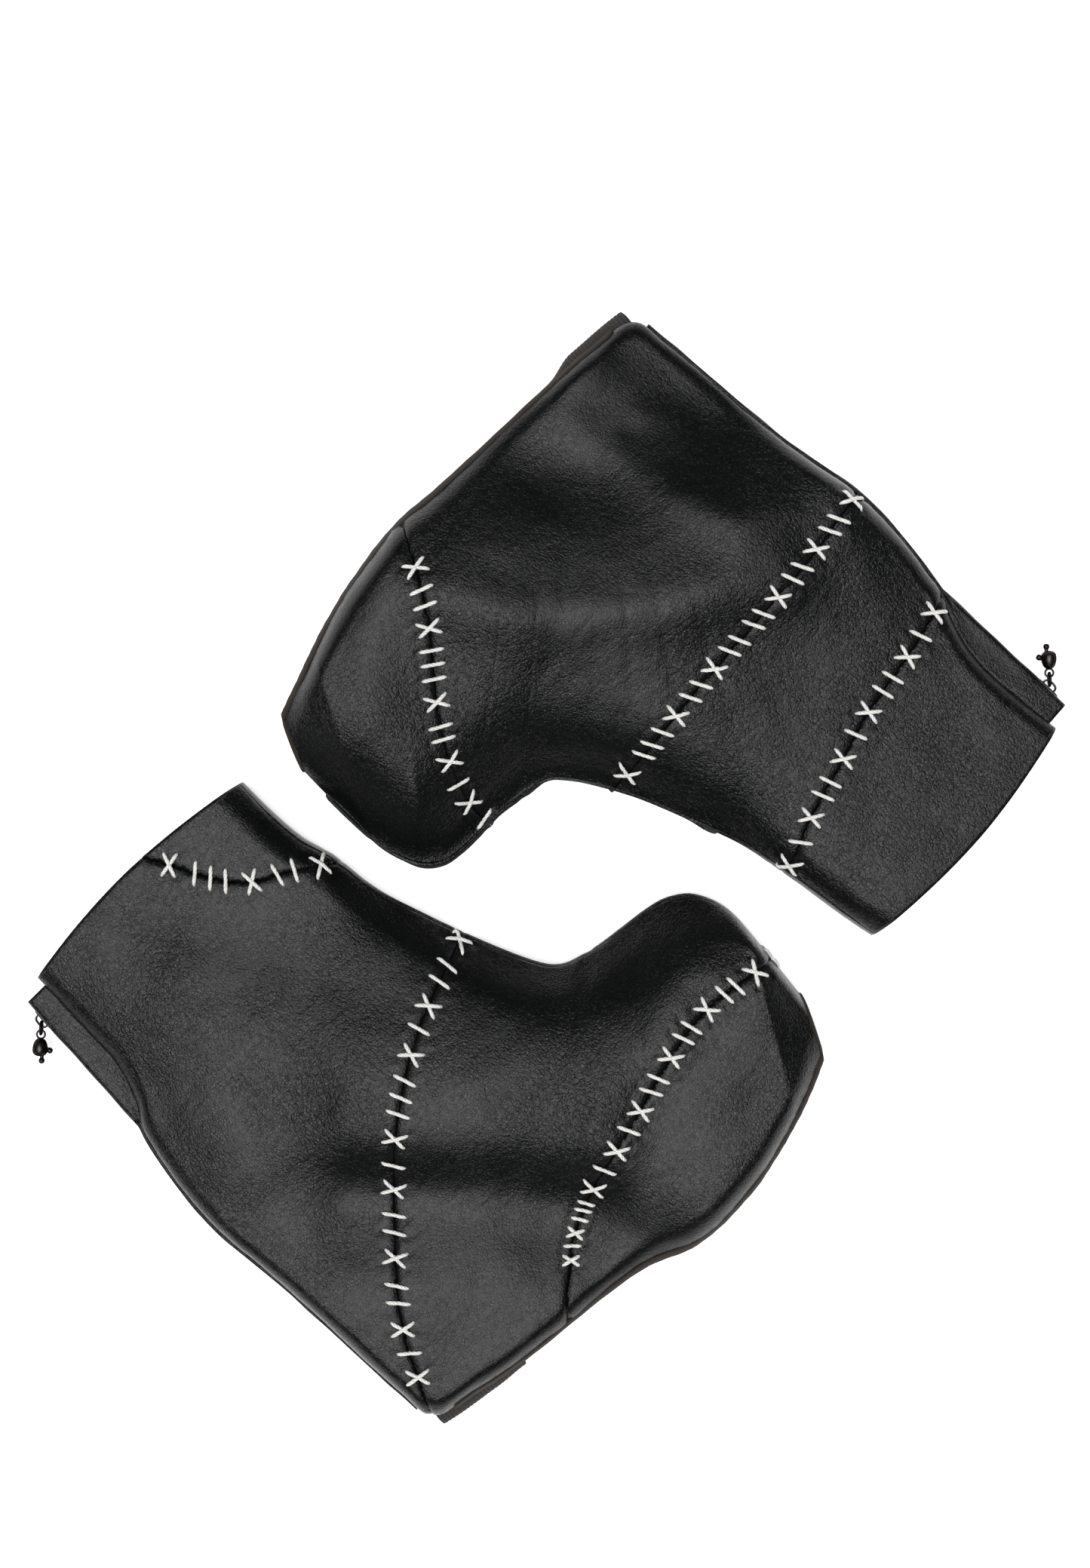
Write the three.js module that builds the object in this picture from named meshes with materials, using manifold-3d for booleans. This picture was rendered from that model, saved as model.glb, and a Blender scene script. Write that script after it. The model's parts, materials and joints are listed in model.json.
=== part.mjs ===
// A pair of soft covers worn over figure-skating boots, lying flat on their sides.
// Each cover is a thin shell of leathercloth, open at the cuff and along the sole. Its near and far
// sides meet at a centre-front seam and close at the back with a zip. Each side is pieced from four
// panels. A bound edge and a wide elastic strap finish the sole opening.
// Millimetres. Cover frame: +X from heel to toe along the sole, +Y up the shaft, +Z off the table.
import * as THREE from 'three';
import { mergeVertices } from 'three/addons/utils/BufferGeometryUtils.js';
import Module from 'manifold-3d';

const wasm = await Module();
wasm.setup();

// ---- overall sizes of one cover ----
const SOLE_LENGTH = 246; // heel corner to the foremost point of the toe
const SHAFT_HEIGHT = 262; // heel corner to the top of the cuff
const SHAFT_RISE = 16; // near side above the middle level, at the shaft
const INSTEP_RISE = 22; // the same over the instep
const TOE_RISE = 23; // the same at the toe
const SHAFT_MIDDLE = 12; // height of the zip and of the front edge above the table
const TOE_MIDDLE = 17; // height of the toe's front edge above the table

// ---- shell ----
const WALL = 1.6; // leathercloth with its backing
const CLEARANCE = 0.4; // between pieces that are sewn edge to edge
const GUSSET_HALF = 8.5; // half the opening that the zip and its strips close
const SEAM_INSET = 1.5; // centre-front seam, in from the outermost edge on the near side
const FRONT_ROLL = 15; // how far in from the front edge the sides start to turn over
const NEAR_SWELL = 24; // how far in from the back edge the near side is fully risen
const FAR_SWELL = 12; // the same for the far side, which lies on the table
const CUFF_BOW = 6; // rise of the cuff's edge between its corners
const SHELL_STEPS = 26; // stations from the cuff to the toe

// ---- sole edge ----
const BINDING_WIDTH = 4;
const BINDING_THICKNESS = 2.2;
const STRAP_WIDTH = 38;
const STRAP_THICKNESS = 1.4;
const STRAP_DROP = 6.2; // how far the folded strap stands out past the heel corner
const STRAP_TUCK = 5; // how far its legs reach inside, measured from the heel corner
const STRAP_START = 2;
const STRAP_ANGLE = -10 * Math.PI / 180;

// ---- zip ----
const ZIP_RADIUS = 1500; // the closed zip is a shallow arc
const ZIP_CENTRE = 150; // height at which the arc is nearest the back
const ZIP_BOTTOM = 16;
const ZIP_TOP = 249;
const CHAIN_GAP = 0.6; // half the space between the two coils
const CHAIN_WIDTH = 2.2;
const CHAIN_DEPTH = 1.8;
const TAPE_THICKNESS = 0.5;
const TAPE_REACH = 6; // tape width from the middle of the zip
const STRIP_THICKNESS = 0.9;
const STRIP_BOTTOM = 8;
const SLIDER_LENGTH = 11;
const SLIDER_HALF_WIDTH = 4;
const SLIDER_HEIGHT = 243; // where the slider stands when the zip is closed
const PLATE = 0.8; // slider plate thickness
const SLIDER_CLEARANCE = 0.5;
const WIRE = 1.1; // pull loop wire diameter
const LOOP_LENGTH = 6.8;
const LOOP_WIDTH = 6;
const PULL_ANGLE = -134 * Math.PI / 180; // where the pull points, in the cover's plane
const CHARM_LENGTH = 8.5;
const CHARM_RADIUS = 3;
const KNOB_RADIUS = 1.3;
const KNOB_LENGTH = 3.6;

const SEAM_GAP = CLEARANCE / 2 + WALL / 16; // half the gap, wide enough for the turned wall
const BACK_GAP = CLEARANCE + 0.65 * WALL; // strip edge to panel edge, across the fold
const STRIP_START = SLIDER_HALF_WIDTH + SLIDER_CLEARANCE;

// Ribs run from the back or sole edge to the front edge, from the cuff round to the toe.
// Each rib: back point, front point, in per cent of sole length and of shaft height; then how far the
// rib is from shaft (0) through instep (1) to toe (2), and whether the back edge is zip (0) or sole (1).
const RIGHT_RIBS = [
  [3.0, 98.0, 53.7, 98.0, 0, 0],
  [3.0, 91.5, 53.8, 91.5, 0, 0],
  [2.8, 84.7, 54.5, 84.7, 0, 0],
  [2.6, 79.0, 56.3, 78.6, 0, 0],
  [0.4, 72.3, 57.3, 71.6, 0.1, 0],
  [-2.9, 66.0, 59.0, 65.5, 0.25, 0],
  [-5.1, 49.6, 64.3, 52.0, 0.6, 0],
  [-3.3, 30.5, 70.2, 40.6, 0.9, 0],
  [-1.9, 8.0, 76.0, 37.7, 1, 0],
  [-0.3, 0.2, 78.4, 37.2, 1, 0.5],
  [8.1, -1.9, 80.8, 36.9, 1.1, 1],
  [18.3, -3.6, 83.7, 36.6, 1.2, 1],
  [42.7, -6.0, 89.8, 35.9, 1.4, 1],
  [54.9, -9.8, 94.0, 34.7, 1.6, 1],
  [67.1, -9.8, 97.6, 32.0, 1.8, 1],
  [77.2, -7.6, 99.8, 26.7, 1.9, 1],
  [86.2, -4.9, 99.6, 19.0, 2, 1],
  [93.5, -1.9, 98.5, 8.0, 2, 1],
];
const LEFT_RIBS = [
  [4.7, 97.5, 54.5, 97.5, 0, 0],
  [5.1, 91.5, 55.3, 91.5, 0, 0],
  [5.2, 84.7, 55.9, 84.3, 0, 0],
  [4.6, 79.0, 56.5, 78.6, 0, 0],
  [2.4, 73.0, 57.4, 72.0, 0.1, 0],
  [-0.6, 66.8, 59.0, 66.0, 0.25, 0],
  [-3.5, 49.6, 63.8, 52.0, 0.6, 0],
  [-1.8, 30.5, 70.2, 40.8, 0.9, 0],
  [-1.5, 8.0, 76.0, 38.4, 1, 0],
  [-0.3, 0.2, 78.4, 37.9, 1, 0.5],
  [8.1, -1.9, 80.8, 37.4, 1.1, 1],
  [18.3, -3.2, 83.7, 37.1, 1.2, 1],
  [42.7, -5.7, 91.0, 36.6, 1.4, 1],
  [54.9, -7.2, 95.0, 35.5, 1.6, 1],
  [67.1, -6.5, 98.0, 32.4, 1.8, 1],
  [77.2, -4.6, 99.6, 26.7, 1.9, 1],
  [86.2, -2.3, 99.4, 19.0, 2, 1],
  [93.5, -0.4, 98.5, 8.0, 2, 1],
];

// Seams across the sides, in the same per cents, running past the edges at both ends.
const RIGHT_SEAMS = {
  cuff: [[27, 107], [33, 99.2], [38.9, 89.2], [43.2, 84.7], [49, 81.7], [56.1, 77.3], [65, 72]],
  ankle: [[76, 58], [63.9, 54.5], [51.7, 50.3], [42.8, 46.3], [29.7, 37.7], [16.5, 25], [8.4, 15.5],
    [4, 7.6], [0, 0.3], [-5, -8]],
  toe: [[112, 14], [100, 15.9], [86.5, 17.8], [76.2, 16.7], [63.8, 13.4], [49.7, 9.8], [40.8, 6],
    [36.7, 3.1], [30.6, -1.9], [26, -9]],
};
const LEFT_SEAMS = {
  cuff: [[-8, 67.5], [2.7, 69.4], [12.3, 71], [25.9, 72.4], [34.5, 74.2], [47, 76.8], [55, 79.2],
    [70, 80]],
  ankle: [[-12, 46], [0.6, 47.5], [18.9, 48.5], [37, 48.4], [49, 48.7], [61.7, 49], [80, 48.6]],
  toe: [[49, -13], [54.2, -5.8], [59.6, 2.4], [64.8, 8.8], [73.7, 17.6], [77.8, 22.4], [81.7, 28.1],
    [83.7, 33.1], [84, 37.1], [84.5, 48]],
};

// Where each cover's zip arc stands nearest the back, in millimetres, and where the cover's heel lies
// in the pair, in the same per cents as the ribs.
const RIGHT_COVER = { name: 'right', side: ['outer', 'inner'], ribs: RIGHT_RIBS, seams: RIGHT_SEAMS,
  zipX: -3, place: [0, 0], turn: 0 };
const LEFT_COVER = { name: 'left', side: ['inner', 'outer'], ribs: LEFT_RIBS, seams: LEFT_SEAMS,
  zipX: 1.5, place: [160.33, 108.02], turn: 184.9 * Math.PI / 180 };

// ---- finishes ----
const finish = (color, roughness, metalness = 0) =>
  new THREE.MeshStandardMaterial({ color, roughness, metalness });
const LEATHER = () => finish(0x1c1e1e, 0.5);
const BINDING = () => finish(0x17130f, 0.85);
const ELASTIC = () => finish(0x2a2826, 0.9);
const ZIP_CLOTH = () => finish(0x111213, 0.85);
const COIL = () => finish(0x151515, 0.5);
const METAL = () => finish(0x2b2a2b, 0.3, 0.9);

// ---- small geometry helpers ----
const scaled = ([x, y]) => new THREE.Vector2(x / 100 * SOLE_LENGTH, y / 100 * SHAFT_HEIGHT);
const range = (count, from, to) =>
  Array.from({ length: count + 1 }, (_, i) => from + (to - from) * i / count);

function orientOutward(positions) {
  let volume = 0;
  const a = new THREE.Vector3();
  const b = new THREE.Vector3();
  const c = new THREE.Vector3();
  for (let i = 0; i < positions.length; i += 9) {
    a.fromArray(positions, i);
    b.fromArray(positions, i + 3);
    c.fromArray(positions, i + 6);
    volume += a.dot(b.cross(c));
  }
  if (volume > 0) return positions;
  for (let i = 0; i < positions.length; i += 9) {
    const first = positions.slice(i, i + 3);
    for (let k = 0; k < 3; k += 1) {
      positions[i + k] = positions[i + 6 + k];
      positions[i + 6 + k] = first[k];
    }
  }
  return positions;
}

// A closed slab between two grids of points: outer[i][j] and inner[i][j].
function slab(outer, inner) {
  const positions = [];
  const quad = (a, b, c, d) => {
    for (const p of [a, b, c, a, c, d]) positions.push(p.x, p.y, p.z);
  };
  const rows = outer.length - 1;
  const columns = outer[0].length - 1;
  for (let i = 0; i < rows; i += 1) {
    for (let j = 0; j < columns; j += 1) {
      quad(outer[i][j], outer[i + 1][j], outer[i + 1][j + 1], outer[i][j + 1]);
      quad(inner[i][j], inner[i][j + 1], inner[i + 1][j + 1], inner[i + 1][j]);
    }
    quad(outer[i][0], inner[i][0], inner[i + 1][0], outer[i + 1][0]);
    quad(outer[i][columns], outer[i + 1][columns], inner[i + 1][columns], inner[i][columns]);
  }
  for (let j = 0; j < columns; j += 1) {
    quad(outer[0][j], outer[0][j + 1], inner[0][j + 1], inner[0][j]);
    quad(outer[rows][j], inner[rows][j], inner[rows][j + 1], outer[rows][j + 1]);
  }
  const geometry = new THREE.BufferGeometry();
  const attribute = new THREE.Float32BufferAttribute(orientOutward(positions), 3);
  geometry.setAttribute('position', attribute);
  return geometry;
}

function toSolid(geometry) {
  const bare = geometry.clone();
  bare.deleteAttribute('normal');
  bare.deleteAttribute('uv');
  const merged = mergeVertices(bare, 1e-4);
  const vertProperties = new Float32Array(merged.attributes.position.array);
  const triVerts = new Uint32Array(merged.index.array);
  return new wasm.Manifold(new wasm.Mesh({ numProp: 3, vertProperties, triVerts }));
}

function toGeometry(solid) {
  const mesh = solid.getMesh();
  const geometry = new THREE.BufferGeometry();
  geometry.setAttribute('position', new THREE.Float32BufferAttribute(mesh.vertProperties, 3));
  geometry.setIndex(new THREE.Uint32BufferAttribute(mesh.triVerts, 1));
  const loose = geometry.toNonIndexed();
  loose.computeVertexNormals();
  return loose;
}

const joined = (...geometries) =>
  toGeometry(geometries.map(toSolid).reduce((sum, solid) => sum.add(solid)));

// ---- the shell's surface ----
function makeShape(cover) {
  const spline = (points) => new THREE.SplineCurve(points);
  const backLine = spline(cover.ribs.map(([x, y]) => scaled([x, y])));
  const frontLine = spline(cover.ribs.map(([, , x, y]) => scaled([x, y])));
  const blend = spline(cover.ribs.map(([, , , , form, sole]) => new THREE.Vector2(form, sole)));
  return { backLine, frontLine, blend, heel: 9 / (cover.ribs.length - 1) };
}

function ribAt(shape, t) {
  const back = shape.backLine.getPoint(t);
  const front = shape.frontLine.getPoint(t);
  const form = THREE.MathUtils.clamp(shape.blend.getPoint(t).x, 0, 2);
  const sole = THREE.MathUtils.smoothstep(t, shape.heel - 0.04, shape.heel + 0.03);
  const length = front.distanceTo(back);
  const along = front.clone().sub(back).normalize();
  const first = Math.min(form, 1);
  const second = Math.max(form - 1, 0);
  const full = SHAFT_RISE + (INSTEP_RISE - SHAFT_RISE) * first + (TOE_RISE - INSTEP_RISE) * second;
  const middle = SHAFT_MIDDLE + (TOE_MIDDLE - SHAFT_MIDDLE) * second;
  const rise = full * Math.min(1, 0.45 + length / 160);
  const roll = Math.min(FRONT_ROLL * (1 + 0.4 * first), 0.75 * length);
  const bow = CUFF_BOW * Math.max(0, 1 - t / 0.2) ** 2;
  const farLip = THREE.MathUtils.lerp(GUSSET_HALF, middle - 1, sole);
  return { back, along, length, rise, middle, roll, bow, sole, farLip };
}

const swell = (x, sole) => {
  const left = (1 - Math.min(x, 1)) ** 2;
  return THREE.MathUtils.lerp(Math.sqrt(1 - left), 1 - left, sole);
};
const nearLift = (rib, a) =>
  GUSSET_HALF + (rib.rise - GUSSET_HALF) * swell(a / (NEAR_SWELL * (1 + rib.sole)), rib.sole);
const farLift = (rib, a) => rib.farLip + (rib.middle - rib.farLip) * swell(a / FAR_SWELL, rib.sole);

function onRib(rib, a, z) {
  const flat = rib.along.clone().multiplyScalar(a).add(rib.back);
  const bow = rib.bow * Math.sin(Math.PI * THREE.MathUtils.clamp(a / rib.length, 0, 1));
  return new THREE.Vector3(flat.x, flat.y + bow, z);
}

// A point of the near (side +1) or far (side -1) surface: a is the distance from the back edge.
const bodyPoint = (rib, side, a) =>
  onRib(rib, a, rib.middle + side * (side > 0 ? nearLift(rib, a) : farLift(rib, a)));

// The turned-over front edge: angle 0 is on the side, a right angle is the outermost edge.
function rollPoint(rib, side, angle) {
  const a = rib.length - rib.roll + rib.roll * Math.sin(angle);
  const lift = side > 0 ? nearLift(rib, a) : farLift(rib, a);
  return onRib(rib, a, rib.middle + side * lift * Math.cos(angle));
}

const seamAngle = (rib) => Math.asin(1 - SEAM_INSET / rib.roll);
const seamHalfGap = (rib) => SEAM_GAP / (0.5 * (rib.roll + rib.rise));
const edgeStart = (rib) => rib.sole * (BINDING_WIDTH + CLEARANCE);

const NEAR_STEPS = [0, 0.01, 0.04, 0.1, 0.2, 0.4, 0.7, 1];
const FAR_STEPS = [1, 0.5, 0.1, 0.04, 0.005, 0];
const TURN_STEPS = [0.3, 0.55, 0.8, 1];

function nearRow(rib) {
  const start = edgeStart(rib);
  const end = rib.length - rib.roll;
  const last = seamAngle(rib) - seamHalfGap(rib);
  const body = NEAR_STEPS.map((f) => bodyPoint(rib, 1, start + f * (end - start)));
  return body.concat(TURN_STEPS.map((f) => rollPoint(rib, 1, f * last)));
}

function farRow(rib) {
  const start = edgeStart(rib);
  const end = rib.length - rib.roll;
  const first = seamAngle(rib) + seamHalfGap(rib);
  const quarter = Math.PI / 2;
  const upper = [first, (first + quarter) / 2].map((angle) => rollPoint(rib, 1, angle));
  const lower = [1, 0.8, 0.55, 0.3].map((f) => rollPoint(rib, -1, f * quarter));
  return [...upper, ...lower, ...FAR_STEPS.map((f) => bodyPoint(rib, -1, start + f * (end - start)))];
}

// Points moved inward by a thickness, square to the grid's surface.
function inset(grid, thickness, sign) {
  const at = (i, j) => grid[THREE.MathUtils.clamp(i, 0, grid.length - 1)][
    THREE.MathUtils.clamp(j, 0, grid[0].length - 1)];
  return grid.map((row, i) => row.map((point, j) => {
    const down = at(i + 1, j).clone().sub(at(i - 1, j));
    const across = at(i, j + 1).clone().sub(at(i, j - 1));
    return point.clone().addScaledVector(down.cross(across).normalize(), sign * thickness);
  }));
}

const SHELL_STATIONS = range(SHELL_STEPS, 0, 1);

function shell(shape, row) {
  const grid = SHELL_STATIONS.map((t) => row(ribAt(shape, t)));
  return slab(grid, inset(grid, WALL, -1));
}

// ---- panels: the shell cut along its seams ----
function offsetLine(points, distance) {
  return points.map((point, i) => {
    const before = points[Math.max(i - 1, 0)];
    const after = points[Math.min(i + 1, points.length - 1)];
    const along = after.clone().sub(before).normalize();
    return new THREE.Vector2(point.x - along.y * distance, point.y + along.x * distance);
  });
}

function prism(outline) {
  const depth = 4 * (TOE_MIDDLE + INSTEP_RISE);
  const geometry = new THREE.ExtrudeGeometry(new THREE.Shape(outline), { depth, bevelEnabled: false });
  return toSolid(geometry.translate(0, 0, -depth / 2));
}

function panelOutlines(cover) {
  const edge = (name, side) => offsetLine(cover.seams[name].map(scaled), side * SEAM_GAP);
  const corner = (x, y) => scaled([x, y]);
  const back = (points) => points.slice().reverse();
  if (cover.name === 'right') {
    return {
      cuff_patch: [...edge('cuff', 1), corner(100, 107)],
      shaft_panel: [...back(edge('cuff', -1)), corner(-20, 107), corner(-20, -8), ...back(edge('ankle', -1))],
      vamp_panel: [...edge('ankle', 1), ...back(edge('toe', -1)), corner(112, 58)],
      toe_panel: [...edge('toe', 1), corner(26, -25), corner(112, -25)],
    };
  }
  return {
    cuff_panel: [...edge('cuff', 1), corner(70, 110), corner(-8, 110)],
    ankle_band: [...back(edge('cuff', -1)), ...edge('ankle', 1)],
    quarter_panel: [...back(edge('ankle', -1)), corner(-12, -13), ...edge('toe', 1)],
    toe_panel: [...back(edge('toe', -1)), corner(49, -30), corner(115, -30), corner(115, 48)],
  };
}

function panels(cover, shape) {
  const sides = [shell(shape, nearRow), shell(shape, farRow)].map(toSolid);
  const outlines = Object.entries(panelOutlines(cover));
  return sides.flatMap((side, i) => outlines.map(([name, outline]) =>
    [`${cover.name}_${cover.side[i]}_${name}`, toGeometry(side.intersect(prism(outline)))]));
}

// ---- binding round the sole opening, from the heel to the toe and back on the far side ----
function binding(shape) {
  const outer = [];
  const inner = [];
  const add = (edge, inside) => outer.push([edge, inside]);
  const soleSteps = SHELL_STATIONS.filter((t) => t > shape.heel + 0.03);
  const last = ribAt(shape, 1);
  const out = new THREE.Vector3(last.along.y, -last.along.x, 0);
  const beyond = (point, distance) => point.clone().addScaledVector(out, distance);
  const bindEdge = (side, steps) => steps.forEach((t) => {
    const rib = ribAt(shape, t);
    add(bodyPoint(rib, side, 0), bodyPoint(rib, side, BINDING_WIDTH));
  });
  const bindToe = (point) =>
    add(beyond(point, CLEARANCE + BINDING_WIDTH), beyond(point, CLEARANCE));
  const corner = (side) => add(
    beyond(bodyPoint(last, side, 0), CLEARANCE + BINDING_WIDTH),
    beyond(bodyPoint(last, side, BINDING_WIDTH), CLEARANCE));
  bindEdge(1, soleSteps);
  corner(1);
  nearRow(last).slice(6).forEach(bindToe);
  farRow(last).slice(1, -4).forEach(bindToe);
  corner(-1);
  bindEdge(-1, soleSteps.slice().reverse());
  inset(outer, BINDING_THICKNESS, -1).forEach((row) => inner.push(row));
  return slab(outer, inner);
}

// ---- elastic strap under the heel: a band folded in half, its ends sewn inside the two edges ----
function strap() {
  const half = GUSSET_HALF - BINDING_THICKNESS - CLEARANCE;
  const hollow = half - STRAP_THICKNESS;
  const fold = STRAP_DROP - half;
  const outline = new THREE.Shape();
  outline.moveTo(-STRAP_TUCK, half);
  outline.lineTo(fold, half);
  outline.absarc(fold, 0, half, Math.PI / 2, -Math.PI / 2, true);
  outline.lineTo(-STRAP_TUCK, -half);
  outline.lineTo(-STRAP_TUCK, -hollow);
  outline.lineTo(fold, -hollow);
  outline.absarc(fold, 0, hollow, -Math.PI / 2, Math.PI / 2, false);
  outline.lineTo(-STRAP_TUCK, hollow);
  const geometry = new THREE.ExtrudeGeometry(outline,
    { depth: STRAP_WIDTH, bevelEnabled: false, curveSegments: 8 });
  const outward = new THREE.Vector3(Math.sin(STRAP_ANGLE), -Math.cos(STRAP_ANGLE), 0);
  const sideways = new THREE.Vector3(Math.cos(STRAP_ANGLE), Math.sin(STRAP_ANGLE), 0);
  const down = new THREE.Vector3(0, 0, -1);
  geometry.applyMatrix4(new THREE.Matrix4().makeBasis(outward, down, sideways));
  geometry.translate(sideways.x * STRAP_START, sideways.y * STRAP_START, SHAFT_MIDDLE);
  return geometry;
}

// ---- back closure ----
// The zip's middle line at arc height s, and its outward direction.
function zipLine(cover, s) {
  const angle = (s - ZIP_CENTRE) / ZIP_RADIUS;
  const outward = new THREE.Vector3(-Math.cos(angle), Math.sin(angle), 0);
  const point = new THREE.Vector3(cover.zipX + ZIP_RADIUS, ZIP_CENTRE, SHAFT_MIDDLE);
  return { point: point.addScaledVector(outward, ZIP_RADIUS), outward };
}

function panelEdge(shape, height) {
  let low = 0;
  let high = shape.heel;
  for (let i = 0; i < 40; i += 1) {
    const t = (low + high) / 2;
    if (shape.backLine.getPoint(t).y > height) low = t;
    else high = t;
  }
  return shape.backLine.getPoint(low).x;
}

// The folded line of the closure at one height: middle of the zip, edge of the strip, panel edge.
function fold(cover, shape, side, s) {
  const { point, outward } = zipLine(cover, s);
  const up = new THREE.Vector3(0, 0, side);
  const start = point.clone().addScaledVector(up, STRIP_START);
  const edgeX = panelEdge(shape, point.y) + WALL / 2;
  const end = new THREE.Vector3(edgeX, point.y, point.z + side * (GUSSET_HALF - BACK_GAP));
  const along = end.clone().sub(start).normalize();
  const face = new THREE.Vector3(0, 1, 0).cross(along).multiplyScalar(-side);
  const reach = start.clone().addScaledVector(along, TAPE_REACH - STRIP_START);
  return { point, outward, up, start, reach, end, face };
}

const CLOSURE_HEIGHTS = range(28, STRIP_BOTTOM, ZIP_TOP + 4);

function strip(cover, shape, side) {
  const heights = CLOSURE_HEIGHTS;
  const sheet = (offset) => heights.map((s) => {
    const { start, reach, end, face } = fold(cover, shape, side, s);
    return [start, reach, end].map((p) => p.clone().addScaledVector(face, offset));
  });
  return slab(sheet(STRIP_THICKNESS / 2), sheet(-STRIP_THICKNESS / 2));
}

function tape(cover, shape, side) {
  const heights = CLOSURE_HEIGHTS.slice(1, -1);
  const under = STRIP_THICKNESS / 2 + CLEARANCE;
  const sheet = (extra) => heights.map((s) => {
    const { point, outward, up, start, reach, face } = fold(cover, shape, side, s);
    const middle = point.clone().addScaledVector(up, CHAIN_GAP);
    const bend = face.clone().add(outward).normalize();
    return [
      middle.addScaledVector(outward, -CLEARANCE - extra),
      start.clone().addScaledVector(bend, -under - extra),
      reach.clone().addScaledVector(face, -under - extra),
    ];
  });
  return slab(sheet(0), sheet(TAPE_THICKNESS));
}

// A bar along the zip between two heights and two distances from its middle.
function zipBar(cover, side, from, to, near, far, depth, steps) {
  const heights = range(steps, from, to);
  const sheet = (out) => heights.map((s) => {
    const { point, outward } = zipLine(cover, s);
    return [near, far].map((d) => point.clone().addScaledVector(outward, out)
      .add(new THREE.Vector3(0, 0, side * d)));
  });
  return slab(sheet(depth), sheet(0));
}

const chain = (cover, side) => zipBar(cover, side, ZIP_BOTTOM, ZIP_TOP,
  CHAIN_GAP, CHAIN_GAP + CHAIN_WIDTH, CHAIN_DEPTH, 18);
const topStop = (cover, side) => zipBar(cover, side, ZIP_TOP + CLEARANCE, ZIP_TOP + 2.4,
  CHAIN_GAP, CHAIN_GAP + CHAIN_WIDTH, CHAIN_DEPTH, 1);
const bottomStop = (cover) => zipBar(cover, 1, ZIP_BOTTOM - 3, ZIP_BOTTOM - CLEARANCE,
  -CHAIN_GAP - CHAIN_WIDTH, CHAIN_GAP + CHAIN_WIDTH, CHAIN_DEPTH, 1);

// Slider frame: +X away from the boot, +Y up the zip, origin on the zip's middle line.
function sliderGroup(cover) {
  const { point, outward } = zipLine(cover, SLIDER_HEIGHT);
  const group = new THREE.Group();
  const flip = new THREE.Matrix4().makeBasis(outward,
    new THREE.Vector3(0, 0, 1).cross(outward).negate(), new THREE.Vector3(0, 0, -1));
  group.applyMatrix4(flip);
  group.position.copy(point);
  return group;
}

const OUTER_PLATE = CHAIN_DEPTH + SLIDER_CLEARANCE;
const INNER_PLATE = -(CLEARANCE + TAPE_THICKNESS + STRIP_THICKNESS / 2 + SLIDER_CLEARANCE);
const BRIDGE_HALF = 3.4;
const BRIDGE_BAR = 1;
const BRIDGE_HEIGHT = WIRE + 2 * SLIDER_CLEARANCE;
const PIVOT = OUTER_PLATE + PLATE + BRIDGE_HEIGHT / 2;
const BRIDGE_WIDTH = 2;

function plate(x, halfWidth) {
  const outline = new THREE.Shape();
  const half = SLIDER_LENGTH / 2;
  const point = [[-half, 0.7], [-half + 1.5, 0.85], [1, 1], [half - 1.5, 1], [half, 0.75]];
  const edge = point.map(([y, w]) => new THREE.Vector2(y, w * halfWidth));
  const mirror = edge.map((p) => new THREE.Vector2(p.x, -p.y)).reverse();
  outline.setFromPoints([...mirror, ...edge]);
  const geometry = new THREE.ExtrudeGeometry(outline, { depth: PLATE, bevelEnabled: false });
  geometry.applyMatrix4(new THREE.Matrix4().makeBasis(new THREE.Vector3(0, 1, 0),
    new THREE.Vector3(0, 0, 1), new THREE.Vector3(1, 0, 0)));
  return geometry.translate(x, 0, 0);
}

function slider() {
  const postHeight = OUTER_PLATE - INNER_PLATE + PLATE;
  const post = new THREE.BoxGeometry(postHeight, 2, 2 * (CHAIN_GAP - 0.3));
  post.translate((OUTER_PLATE + INNER_PLATE) / 2, SLIDER_LENGTH / 2 - 1.6, 0);
  const base = OUTER_PLATE + PLATE - 0.1;
  const arch = new THREE.Shape();
  const top = BRIDGE_HEIGHT + 0.1;
  arch.moveTo(base, -BRIDGE_HALF);
  arch.lineTo(base, BRIDGE_HALF);
  arch.lineTo(base + top, BRIDGE_HALF);
  arch.lineTo(base + top + BRIDGE_BAR, BRIDGE_HALF - 1.2);
  arch.lineTo(base + top + BRIDGE_BAR, -BRIDGE_HALF + 1.2);
  arch.lineTo(base + top, -BRIDGE_HALF);
  const hole = new THREE.Path();
  hole.moveTo(base + 0.1, -BRIDGE_HALF + BRIDGE_BAR);
  hole.lineTo(base + top, -BRIDGE_HALF + BRIDGE_BAR);
  hole.lineTo(base + top, BRIDGE_HALF - BRIDGE_BAR);
  hole.lineTo(base + 0.1, BRIDGE_HALF - BRIDGE_BAR);
  arch.holes.push(hole);
  const bridge = new THREE.ExtrudeGeometry(arch, { depth: BRIDGE_WIDTH, bevelEnabled: false });
  bridge.translate(0, 0, -BRIDGE_WIDTH / 2);
  return joined(plate(OUTER_PLATE, SLIDER_HALF_WIDTH), plate(INNER_PLATE - PLATE, SLIDER_HALF_WIDTH),
    post, bridge);
}

// Pull frame: +X along the pull from its pivot in the bridge, +Z across the zip.
function pullLoop() {
  const geometry = new THREE.TorusGeometry((LOOP_WIDTH - WIRE) / 2, WIRE / 2, 6, 18);
  geometry.rotateX(Math.PI / 2);
  geometry.scale((LOOP_LENGTH - WIRE) / (LOOP_WIDTH - WIRE), 1, 1);
  return geometry.translate((LOOP_LENGTH - WIRE) / 2, 0, 0);
}

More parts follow.
